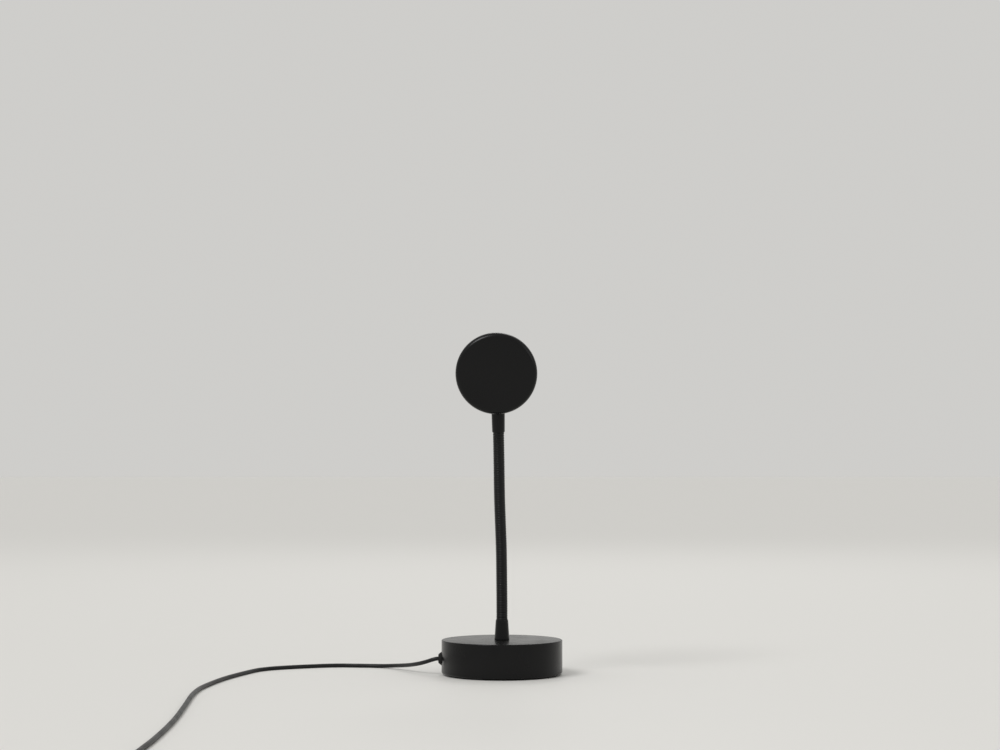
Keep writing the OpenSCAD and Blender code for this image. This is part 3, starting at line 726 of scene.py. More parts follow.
# Fibreglass board under green solder mask.
GREEN_BOARD = BoardFinish(
    "green_solder_mask_board", Slot.BOARD_GREEN, "#0e4a2b", 0.35, relief=0.03, second="#1b6b41",
)
# White solder mask on an aluminium core, which throws the light back.
WHITE_BOARD = BoardFinish(
    "white_solder_mask_on_aluminium", Slot.BOARD_WHITE, "#e8e7e2", 0.4, relief=0.02,
    second="#dad9d2", track=2.2,
)
# Epoxy-moulded chokes and chips with tinned ends.
COMPONENTS = Finish(
    "epoxy_moulded_components", Slot.ELECTRONICS, "#1c1c1e", 0.5, grain=0.3, relief=0.01, patch=2.5,
    drift=0.1, second="#2c2b2b",
)
# Nylon straight from the mould: milky and waxy.
NATURAL_NYLON = Finish(
    "natural_moulded_nylon", Slot.NYLON, "#dcd8cb", 0.45, grain=0.6, relief=0.006, patch=5,
    second="#cfcabb",
)
# Silicone-covered lead: soft red with a dull sheen.
SILICONE_LEAD = Finish(
    "red_silicone_lead", Slot.LEAD_RED, "#8f1713", 0.5, grain=0.8, relief=0.01, patch=6,
    second="#7c120f",
)
# Aluminium extruded and cut, with the die's fine lines.
EXTRUDED_ALUMINIUM = LinedFinish(
    "extruded_aluminium", Slot.ALUMINIUM, "#c6c8ca", 0.3, metallic=1.0, relief=0.006, spacing=0.35,
    lines=Lines.X, patch=7, second="#b4b6b9",
)
# Silicone over phosphor: egg-yolk yellow, a little soft and glowing when lit.
PHOSPHOR = Finish(
    "silicone_over_phosphor", Slot.EMITTER, "#f0c53c", 0.3, grain=0.3, relief=0.006, patch=1.5,
    second="#f5d766",
)
# Polycarbonate metallised in a vacuum: a mirror with the moulding's slight ripple.
METALLISED = Finish(
    "vacuum_metallised_polycarbonate", Slot.REFLECTOR, "#ecebe8", 0.1, metallic=1.0, grain=2.5,
    relief=0.012, patch=6, drift=0.03,
)
# Flat glass with its colours evaporated on it, smooth, with the light from behind painted on as its
# own glow.
SUNSET_COATING = SunsetGlass(
    "ring_coated_filter_glass", Slot.FILTER_GLASS, "#ff7a1c", 0.14, patch=5, drift=0.04,
)
# Crown glass, polished and coated, so that it mirrors a faint violet.
CROWN_GLASS = Glass(
    "polished_crown_glass", Slot.LENS_GLASS, "#f4f8fa", 0.03, patch=9, drift=0.015, coating=110,
)
# ABS from a spark-eroded mould: black with a fine, even grain of 0.2 mm, drawn at 0.3 mm.
BLACK_ABS = Finish(
    "spark_eroded_black_abs", Slot.PLASTIC_BLACK, "#101011", 0.48, grain=0.3, relief=0.014,
    patch=10, second="#161617", mirror=0.34,
)
# A strap of woven nylon with hooks and loops.
WOVEN_STRAP = LinedFinish(
    "woven_nylon_strap", Slot.PLASTIC_BLACK, "#19191b", 0.85, relief=0.08, spacing=0.55,
    lines=Lines.DIAGONAL, patch=3, second="#26262a",
)
# Nickel on drawn steel: bright, faintly warm, with the tool's lines along it.
NICKEL = LinedFinish(
    "nickel_plated_steel", Slot.STEEL, "#c9c6bf", 0.2, metallic=1.0, relief=0.003, spacing=0.4,
    lines=Lines.Y, patch=5, second="#bdb9b0",
)
# Gold flashed on copper contacts.
GOLD_FLASH = Finish(
    "gold_flashed_contacts", Slot.CONTACT_METAL, "#d6a546", 0.25, metallic=1.0, grain=0.3,
    relief=0.003, patch=2, second="#c99a3e",
)
# Ceramic under the phosphor: dense, even and off-white.
CERAMIC = Finish(
    "fired_white_ceramic", Slot.EMITTER, "#e9e7df", 0.42, grain=0.3, relief=0.004, patch=3,
    second="#dedbd0",
)
# PBT insulator: plain white and slightly glossy.
WHITE_PBT = Finish(
    "white_moulded_pbt", Slot.NYLON, "#e6e5e0", 0.38, grain=0.4, relief=0.005, patch=4,
    second="#dddbd5",
)


# ---------- Sub-assemblies ----------


@dataclass
class Assembly:
    """What every sub-assembly does with a piece once its shape is done."""

    def seat(self, piece: Object, finish: Finish, body: str, *nodes: str) -> Object:
        """Dresses a piece, lets it ride on a body and stands it for its CAD nodes.

        Args:
            piece: the finished piece.
            finish: its finish.
            body: the CAD body that carries it.
            *nodes: the CAD nodes that it stands for.

        Returns:
            The same piece.
        """
        self.dress(piece, finish)
        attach(piece, body)
        self.stand(piece, *nodes)
        LOG.info("%s rides on %s", piece.name, body)
        return piece

    def dress(self, piece: Object, finish: Finish) -> None:
        """Gives a piece its finish, in place of its own materials."""
        piece.data.materials.clear()
        piece.data.materials.append(finish.material())

    def stand(self, piece: Object, *nodes: str) -> None:
        """Stands a piece for its CAD nodes, if it has any."""
        if nodes:
            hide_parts(*nodes)

    def carry(self, finish: Finish, *nodes: str) -> None:
        """Keeps CAD nodes as they are and gives them a finish."""
        for name in nodes:
            node = frame["nodes"][name]
            self.dress(node, finish)
            smoothed(node, over=25)
            LOG.info("%s keeps its shape", name)


@dataclass
class Base(Assembly):
    """The weighted base: its shell, foot, and what it holds."""

    wall: float = 2.0  # Thickness of the shell's side
    roof: float = 2.5  # Thickness of its top
    top_edge: float = 0.7  # Rounding of its upper edge
    foot_edge: float = 1.6  # Rounding of its lower edge
    inner_edge: float = 1.2  # Rounding of the corner inside
    stud_hole: float = 4.1  # Radius of the hole for the ferrule's stud
    posts: tuple[float, ...] = (30, 150, 270)  # Where the screw posts stand, in degrees from +X
    post_ring: float = 34.5  # How far from the middle they stand
    post_radius: float = 3.5  # Radius of a post
    post_foot: float = 2.6  # Height where the posts begin
    post_root: float = 0.4  # How far they reach into the top
    screw_hole: float = 1.5  # Radius of the hole in a post
    screw_depth: float = 7.5  # Depth of that hole
    clear: float = 0.5  # How far below a post its drill starts
    outlet: float = 11.9  # Height of the cord's outlet
    bush_hole: float = 4.05  # Radius of the outlet's hole
    outlet_reach: float = 6.0  # How far its drill reaches to both sides of the shell's outside
    # How far in from the foot's edge its grooves lie
    grooves: tuple[float, ...] = (5.0, 13.0, 21.0)
    groove_width: float = 2.0  # Width of a groove
    groove_depth: float = 0.3  # Its depth
    groove_flank: float = 0.4  # How far its sides slope
    pad_edge: float = 0.3  # Slanted edge of the foot

    def build(self) -> None:
        """Builds the shell and the foot, and dresses what the base holds."""
        low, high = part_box("base_shell")
        radius = high.x / MM
        self.shell(radius, low.z / MM, high.z / MM)
        self.foot()
        self.carry(ZINC_STEEL, "base_bottom_plate", "base_screws", "lower_washer", "lower_nut")
        self.carry(CAST_IRON, "base_counterweight")
        self.carry(GREEN_BOARD, "driver_board")
        self.carry(COMPONENTS, "driver_parts")
        self.carry(NATURAL_NYLON, "board_pillars")
        self.carry(SILICONE_LEAD, "inlet_leads", "base_leads")
        self.carry(CORD_SKIN, "cord_inner_end")
        Bush().build(radius, self.outlet)

    def shell(self, radius: float, foot: float, top: float) -> None:
        """Spins the shell and gives it its posts and holes.

        Args:
            radius: its outer radius.
            foot: the height of its lower edge.
            top: the height of its top.
        """
        inside = radius - self.wall
        roof = top - self.roof
        corner = (inside - self.inner_edge, roof - self.inner_edge)
        outline = [
            (self.stud_hole, top),
            *arc((radius - self.top_edge, top - self.top_edge), self.top_edge, 90, 0, 8),
            *arc((radius - self.foot_edge, foot + self.foot_edge), self.foot_edge, 0, -90, 6),
            (inside, foot),
            *arc(corner, self.inner_edge, 0, 90, 5),
            (self.stud_hole, roof),
            (self.stud_hole, top),
        ]
        shell = turned("base_cover", outline, facets=192)
        height = roof - self.post_foot + self.post_root
        for angle in self.posts:
            at = swing(angle, "Z") @ shift(self.post_ring, 0, self.post_foot)
            carved(shell, rod("post", self.post_radius, height, at), Carving.FUSE)
            below = at @ shift(0, 0, -self.clear)
            drill = rod("drill", self.screw_hole, self.screw_depth + self.clear, below, facets=24)
            carved(shell, drill, Carving.CUT)
        outlet = shift(-radius + self.outlet_reach, 0, self.outlet) @ Axis.LEFT.value
        carved(shell, rod("outlet", self.bush_hole, 2 * self.outlet_reach, outlet), Carving.CUT)
        self.seat(smoothed(shell), BLACK_ALUMINIUM, "base", "base_shell")

    def foot(self) -> None:
        """Spins the rubber foot, with the rings that its mould leaves underneath."""
        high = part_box("base_foot_pad")[1]
        radius, height = high.x / MM, high.z / MM
        rings = []
        for inset in self.grooves:
            outer, inner = radius - inset, radius - inset - self.groove_width
            rings += [
                (outer, 0), (outer - self.groove_flank, self.groove_depth),
                (inner + self.groove_flank, self.groove_depth), (inner, 0),
            ]
        pad = turned("rubber_foot", [
            (0, 0), *reversed(rings), (radius - self.pad_edge, 0), (radius, self.pad_edge),
            (radius, height), (0, height),
        ], facets=144)
        self.seat(smoothed(pad, over=20), RUBBER, "base", "base_foot_pad")


@dataclass
class Bush(Assembly):
    """The rubber bush in the base's side, which the cord leaves through."""

    bore: float = 1.5  # Radius of its hole
    step: float = 1.2  # How far the flange stands out past the barrel
    slope: float = 2.0  # How much the flange narrows outwards
    face: float = 1.9  # How far in from the flange's edge its flat end reaches
    nose: float = 0.6  # Rounding at the narrow end
    rim: float = 0.5  # Rounding at the wide end
    rim_place: float = 0.1  # How far in front of the base's side that rounding's centre is
    flange_back: float = 0.6  # How deep the flange is let into the base's side
    depth: float = 5.0  # How deep the barrel reaches
    catch: float = 0.6  # Height of the ridge that catches behind the wall
    catch_front: float = 3.4  # Where the ridge starts
    catch_top: float = 3.6  # Where it is highest

    def build(self, base_radius: float, height: float) -> None:
        """Turns the bush and fits its flange to the base's round side.

        Args:
            base_radius: the outer radius of the base.
            height: the height of the outlet.
        """
        low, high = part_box("outlet_bush")
        flange = (high.z - low.z) / MM / 2
        proud = -low.x / MM - base_radius
        barrel = flange - self.step
        bush = turned("cord_bush", [
            (self.bore, proud), (flange - self.face, proud),
            *arc((flange - self.slope, proud - self.nose), self.nose, 90, 30, 4),
            *arc((flange - self.rim, self.rim_place), self.rim, 30, 0, 3),
            (flange, -self.flange_back), (barrel, -self.flange_back), (barrel, -self.catch_front),
            (barrel + self.catch, -self.catch_top), (barrel, -self.depth),
            (self.bore, -self.depth), (self.bore, proud),
        ], facets=64)
        settled(bush, shift(-base_radius, 0, height) @ Axis.LEFT.value)
        self.seat(smoothed(bush, over=40), RUBBER, "base", "outlet_bush")


class NeckLine:
    """The neck's centre line at rest: thirteen straight links, rounded off at each joint.

    Attributes:
        link: the length of a link, in metres.
        points: both ends of every link.
        bodies: the CAD body of every link.
    """

    def __init__(self, length: float, links: int, back: float, left: float) -> None:
        """Runs the line through the frame's joints.

        Args:
            length: the neck's length between its ferrules, in millimetres.
            links: how many links it has.
            back: how far the last link leans away from the light, in degrees.
            left: how far it leans to the left, in degrees.
        """
        joints = [joint for joint in frame["joints"] if joint["name"].startswith("neck")]
        places = [Vector(joint["pos_m"]) for joint in joints]
        self.link = length * MM / links
        self.tilt = swing(-left, "Y") @ swing(back, "X")
        first = places[0] - Vector((0, 0, self.link))
        last = places[-1] + self.tilt.to_3x3() @ Vector((0, 0, self.link))
        self.points = [first, *places, last]
        self.bodies = [joints[0]["parent"], *(joint["child"] for joint in joints)]

    def top(self) -> Matrix:
        """Returns the place of the neck's upper end, its Z along the last link."""
        return Matrix.Translation(self.points[-1]) @ self.tilt

    def at(self, along: float) -> Matrix:
        """Finds a place on the line.

        Args:
            along: how far it is from the neck's lower end, in metres.

        Returns:
            The place, its Z along the line.
        """
        joint = min(max(round(along / self.link), 1), len(self.points) - 2)
        before, here, after = self.points[joint - 1 : joint + 2]
        start, end = (before + here) / 2, (here + after) / 2
        t = along / self.link - joint + 0.5
        if t < 0 or t > 1:
            way = (here - before if t < 0 else after - here).normalized()
            edge, past = (start, t) if t < 0 else (end, t - 1)
            place = edge + way * past * self.link
        else:
            place = start * (1 - t) ** 2 + here * 2 * t * (1 - t) + end * t**2
            way = (here - start) * (1 - t) + (end - here) * t
        turn = Vector((0, 0, 1)).rotation_difference(way.normalized())
        return Matrix.Translation(place) @ turn.to_matrix().to_4x4()

    def bend(self, piece: Object) -> Object:
        """Lays a straight piece along the line, each point by its own height."""
        for vert in piece.data.vertices:
            x, y, along = vert.co
            vert.co = self.at(along) @ Vector((x, y, 0))
        piece.data.update()
        return piece


@dataclass
class Neck(Assembly):
    """The bending neck: wound wire and the leads in it, one piece of each at every joint."""

    length: float = 139.8  # Length between the ferrules
    links: int = 13  # How many links the frame has
    radius: float = 4.2  # Outer radius
    rib: float = 0.26  # How far the wire stands out
    wall: float = 1.0  # Thickness of the wound tube
    turns: int = 6  # Turns of wire on a link, an even number, so that pieces meet in a groove
    plug: float = 9.0  # How far the ends reach into the ferrules
    back: float = 8.0  # How far the last link leans away from the light, in degrees
    left: float = 1.0  # How far it leans to the left, in degrees
    core: float = 0.42  # Radius of one of the two leads
    crest: float = 0.55  # Power of the curve over a turn, which is flatter than a half circle
    # Places on a turn, from 0 to 1, that this curve is drawn through
    crest_shares: tuple[float, ...] = (0, 0.07, 0.2, 0.38, 0.62, 0.8, 0.93, 1)
    facets: int = 36  # Faces round the tube
    lead_facets: tuple[int, int] = (12, 8)  # Faces round a lead, and its parts along one joint
    lead_end: float = 1.0  # How far the leads reach past the neck's ends

    def build(self) -> NeckLine:
        """Builds the neck's pieces and returns its line, which the head stands on."""
        line = NeckLine(self.length, self.links, self.back, self.left)
        for joint in range(1, self.links):
            self.sheath(line, joint)
            self.leads(line, joint)
        return line

    def seat_at(
        self, piece: Object, finish: Finish, line: NeckLine, joint: int, *nodes: str
    ) -> None:
        """Lays a piece along the neck's line, dresses it and stands it for its CAD nodes.

        Args:
            piece: the piece, straight along Z.
            finish: its finish.
            line: the neck's line.
            joint: the joint's number, from 1.
            *nodes: the CAD nodes that it stands for.
        """
        line.bend(piece)
        self.dress(piece, finish)
        reach = line.link / 2
        start, end = (line.at(joint * line.link + side * reach).translation for side in (-1, 1))
        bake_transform(piece)
        self.stand(piece, *nodes)
        LOG.info("%s bends at joint %d", piece.name, joint)

    def sheath(self, line: NeckLine, joint: int) -> None:
        """Winds the wire round one joint, from the middle of a link to the middle of the next.

        The pieces meet in the groove between two turns. The first and the last go on into their
        ferrules.

        Args:
            line: the neck's line.
            joint: the joint's number, from 1.
        """
        pitch = self.length / self.links / self.turns
        plugged = int(self.plug / pitch) - 1
        half = self.turns // 2
        first, count = self.turns * joint - half, self.turns
        nodes = [f"neck_link_{joint + 1:02d}"]
        if joint == 1:
            count += first + plugged
            first = -plugged
            nodes.append("neck_link_01")
        if joint == self.links - 1:
            count += half + plugged
        groove = self.radius - self.rib
        piece = drawn(f"neck_sheath_{joint:02d}", [
            (groove + self.rib * math.sin(math.pi * share) ** self.crest, share * pitch)
            for share in self.crest_shares
        ])
        modified(
            piece, "SCREW", axis="Z", angle=math.tau, screw_offset=pitch * MM, iterations=count,
            steps=self.facets, render_steps=self.facets,
        )
        cleaned(piece)
        self.face_out(piece)
        modified(piece, "SOLIDIFY", thickness=self.wall * MM, offset=-1)
        settled(piece, shift(0, 0, first * pitch))
        self.seat_at(smoothed(piece, over=60), WOUND_WIRE, line, joint, *nodes)

    def face_out(self, piece: Object) -> None:
        """Turns an open tube's faces away from its axis, which Z is."""
        face = piece.data.polygons[len(piece.data.polygons) // 2]
        if face.normal.dot(Vector((face.center.x, face.center.y, 0))) < 0:
            piece.data.flip_normals()

    def leads(self, line: NeckLine, joint: int) -> None:
        """Lays the two leads through one joint.

        Args:
            line: the neck's line.
            joint: the joint's number, from 1.
        """
        link = self.length / self.links
        past = self.plug + self.lead_end
        start = -past if joint == 1 else (joint - 0.5) * link
        end = self.length + past if joint == self.links - 1 else (joint + 0.5) * link
        facets, parts = self.lead_facets
        cores = []
        for side in (-1, 1):
            deselect()
            bpy.ops.mesh.primitive_circle_add(
                vertices=facets, radius=self.core * MM, fill_type="NGON",
                location=scaled((side * self.core, 0, start)),
            )
            core = started("core")
            with editing(core):
                for _ in range(parts):
                    extrude(0, 0, (end - start) / parts)
            cores.append(cleaned(core))
        piece = joined(*cores)
        piece.name = f"neck_leads_{joint:02d}"
        self.seat_at(smoothed(piece, over=60), SILICONE_LEAD, line, joint, "neck_leads")


@dataclass
class Ferrules(Assembly):
    """The two ferrules that hold the neck's ends, each with its threaded stud."""

    lower_height: float = 15.0  # Height of the lower ferrule above the base
    lower_foot: float = 5.6  # Its radius on the base
    lower_band: float = 0.5  # Height of the straight band at its foot
    upper_height: float = 17.2  # Height of the upper ferrule below the head
    upper_step: float = 0.3  # How much wider the upper ferrule gets below the head
    # How thin the wall gets at the neck's side, where it meets the neck without a step
    lip: float = 0.16
    lip_length: float = 2.4  # How long that slope is on the lower ferrule
    # Places on the slope, from 0 to 1, that its curve passes through
    lip_shares: tuple[float, ...] = (0.3, 0.55, 0.75, 0.9)
    # Edge of the upper ferrule's mouth: how far in from the wall's outside, and how high
    mouth: tuple[Point, ...] = ((0.24, 0.0), (0.06, 0.35), (0.0, 0.9))
    wall: float = 0.5  # Thickness of the wall round the neck
    socket: float = 4.25  # Radius of the neck's socket
    plug: float = 9.0  # How deep the sockets are
    stud: float = 4.0  # Radius of the studs
    lead_hole: float = 2.0  # Radius of the hole for the leads
    lower_stud: float = 8.5  # Length of the lower stud
    upper_stud: float = 10.6  # Length of the upper stud
    flare_parts: int = 6  # How many parts the lower ferrule's flare has
    facets: int = 96  # Faces round each ferrule
    edge: float = 0.22  # Width of its broken edges

    def build(self, line: NeckLine) -> None:
        """Turns both ferrules.

        Args:
            line: the neck's line.
        """
        base_top = Matrix.Translation((0, 0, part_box("base_shell")[1].z))
        for name, outline, place, body, node in (
            ("lower_neck_ferrule", self.lower(), base_top, "base", "lower_ferrule"),
            ("upper_neck_ferrule", self.upper(), line.top(), "head", "upper_ferrule"),
        ):
            piece = settled(turned(name, outline, facets=self.facets, ease=self.edge), place)
            self.seat(smoothed(piece), BLACK_ALUMINIUM, body, node)

    def lower(self) -> list[Point]:
        """Returns the lower ferrule's half section: a flare that ends in a thin, curved lip."""
        rim, lip = self.socket + self.wall, self.socket + self.lip
        shoulder = self.lower_height - self.lip_length
        parts = self.flare_parts
        flare = [
            (self.lower_foot + (rim - self.lower_foot) * i / parts, shoulder * i / parts)
            for i in range(1, parts + 1)
        ]
        slope = [
            (rim + (lip - rim) * share**2, shoulder + self.lip_length * share)
            for share in self.lip_shares
        ]
        height, deep = self.lower_height, self.lower_height - self.plug
        return [
            (self.lead_hole, -self.lower_stud), (self.stud, -self.lower_stud), (self.stud, 0),
            (self.lower_foot, 0), (self.lower_foot, self.lower_band), *flare, *slope, (lip, height),
            (self.socket, height), (self.socket, deep), (self.lead_hole, deep),
            (self.lead_hole, -self.lower_stud),
        ]

    def upper(self) -> list[Point]:
        """Returns the upper ferrule's half section, which widens a little towards the head."""
        rim = self.socket + self.wall
        height, end = self.upper_height, self.upper_height + self.upper_stud
        return [
            (self.socket, 0), *((rim - inset, up) for inset, up in self.mouth),
            (rim + self.upper_step, height), (self.stud, height), (self.stud, end),
            (self.lead_hole, end), (self.lead_hole, self.plug), (self.socket, self.plug),
            (self.socket, 0),
        ]


@dataclass
class HeadPart(Assembly):
    """What the head's sub-assemblies share.

    Places are along the optical axis, from the neck's centre line towards the wall that is lit.
    """

    # Where the optical axis meets the neck's centre line, its Z away from the neck
    place: Matrix = field(default_factory=Matrix)
    front: float = 18.0  # Where the housing ends
    thread: float = 23.5  # Radius of the barrel's thread
    web: float = 8.0  # Where the face of the housing's web is
    fit: float = 0.1  # Play of pieces that slide into each other
    facets: int = 176  # Faces round a large piece

    def turn_piece(
        self, name: str, outline: Sequence[Point], facets: int, ease: float = 0.0
    ) -> Object:
        """Turns a piece round the optical axis, in its place.

        Args:
            name: the piece's name.
            outline: radius and place along the axis of each point.
            facets: faces round the axis.
            ease: the width of its broken edges.

        Returns:
            The piece.
        """
        return settled(turned(name, outline, facets, ease), self.place @ Axis.LIGHT.value)


@dataclass
class Head(HeadPart):
    """The head: its housing and rear cover, and the parts that they hold."""

    radius: float = 30.0  # Largest radius, at the rear cover
    rear: float = -22.0  # Where the rear cover meets the housing
    shoulder: float = 10.0  # Where the housing's shoulder begins
    shoulder_end: float = 2.2  # How long the shoulder is
    taper: float = 2.6  # How much the housing's radius shrinks up to there
    front_radius: float = 25.6  # Its radius in front of the shoulder
    groove: float = 0.5  # Depth of the groove between housing and cover
    groove_width: float = 1.0  # Its width
    groove_edge: Point = (0.1, 0.25)  # Slanted edge beside it, its depth and its width
    rear_bore: float = 27.0  # Radius of the housing's rear bore
    chamber: float = 25.3  # Radius of its chamber
    sink: float = -11.0  # Where the heat sink's face is
    web_thick: float = 1.5  # Thickness of the web
    web_hole: float = 15.2  # Radius of the web's hole
    pad_radius: float = 7.0  # Radius of the boss that the upper ferrule's shoulder meets
    pad_proud: float = 0.6  # How far that boss stands out
    pad_inside: float = 24.2125  # How far its inner face is from the optical axis
    stud_hole: float = 4.1  # Radius of the hole for the ferrule's stud
    stud_drill: float = 8.0  # How long that hole's drill is
    clear: float = 1.0  # How far below the boss the drill starts
    turned_right: float = 2.0  # How far the head is turned to the right, in degrees
    cover_depth: float = 5.0  # Depth of the rear cover
    cover_edge: float = 4.0  # Rounding of its edge
    cover_dome: float = 0.8  # How far its middle bulges
    cover_thick: float = 2.2  # Its thickness
    cover_bevel: float = 0.25  # Slanted edge where it meets the housing
    cover_corner: float = 1.0  # Slant in the corner between its wall and its spigot
    cover_steps: int = 16  # How many parts its dome's curve has
    spigot_wall: float = 1.8  # How far its spigot's inside is from the rear bore
    spigot_gap: float = 3.0  # How far the spigot stays away from the heat sink
    broken: float = 0.2  # Width of the housing's broken edges

    def build(self, line: NeckLine, ferrule_height: float) -> None:
        """Builds the head on the neck's upper end.

        Args:
            line: the neck's line.
            ferrule_height: the height of the upper ferrule.
        """
        share = -self.rear / (self.shoulder - self.rear)
        drop = self.radius - self.taper * share + self.pad_proud
        up = shift(0, 0, ferrule_height + drop)
        self.place = line.top() @ up @ swing(-self.turned_right, "Z")
        self.housing(drop)
        self.cover()
        Barrel(self.place).build()
        Light(self.place).build()
        self.carry(ZINC_STEEL, "upper_washer", "upper_nut", "led_screws")
        self.carry(EXTRUDED_ALUMINIUM, "heat_sink")
        self.carry(WHITE_BOARD, "led_board")
        self.carry(SILICONE_LEAD, "head_leads")
        self.carry(BLACK_ABS, "filter_holder")
        self.carry(RUBBER, "lens_gasket")

    def housing(self, drop: float) -> None:
        """Turns the tapered housing, with the boss that stands on the upper ferrule.

        Args:
            drop: how far the boss's face is below the optical axis.
        """
        slim = self.radius - self.taper
        rear, waist = self.rear, self.radius - self.groove
        edge_in, edge_wide = self.groove_edge
        back_of_web = self.web - self.web_thick
        body = turned("head_shell", [
            (self.rear_bore, rear), (waist, rear), (waist, rear + self.groove_width),
            (self.radius - edge_in, rear + self.groove_width + edge_wide), (slim, self.shoulder),
            *arc((self.front_radius, self.shoulder), slim - self.front_radius, 0, 80, 8)[1:],
            (self.front_radius, self.shoulder + self.shoulder_end), (self.front_radius, self.front),
            (self.thread, self.front), (self.thread, self.web), (self.web_hole, self.web),
            (self.web_hole, back_of_web), (self.chamber, back_of_web),
            (self.chamber, self.sink), (self.rear_bore, self.sink), (self.rear_bore, rear),
        ], self.facets)
        settled(body, Axis.LIGHT.value)
        boss = rod("boss", self.pad_radius, drop - self.pad_inside, shift(0, 0, -drop), facets=72)
        carved(body, boss, Carving.FUSE)
        drill = rod("stud_hole", self.stud_hole, self.stud_drill, shift(0, 0, -drop - self.clear))
        carved(body, drill, Carving.CUT)
        eased(body, self.broken, segments=2, over=38)
        settled(body, self.place)
        self.seat(smoothed(body), BLACK_ALUMINIUM, "head", "head_housing")

    def cover(self) -> None:
        """Turns the rear cover, which the photographed side shows: a slight dome, a soft edge."""
        back, steps = self.rear - self.cover_depth, self.cover_steps
        inside = back + self.cover_thick
        flat = self.radius - self.cover_edge
        wide = flat - self.cover_corner
        bulge = [self.cover_dome * (1 - (i / steps) ** 2) for i in range(steps + 1)]
        outer = [(flat * i / steps, back - bulge[i]) for i in range(steps)]
        inner = [(wide * i / steps, inside - bulge[i]) for i in range(steps, -1, -1)]
        spigot, sleeve = self.rear_bore - self.fit, self.rear_bore - self.spigot_wall
        end = self.sink - self.spigot_gap
        cover = self.turn_piece("rear_cap", [
            *outer, *arc((flat, back + self.cover_edge), self.cover_edge, -90, 0, 16),
            (self.radius, self.rear - self.cover_bevel),
            (self.radius - self.cover_bevel, self.rear), (spigot, self.rear), (spigot, end),
            (sleeve, end), (sleeve, inside + self.cover_corner), *inner,
        ], facets=192)
        self.seat(smoothed(cover), BLACK_ALUMINIUM, "head", "rear_cover")


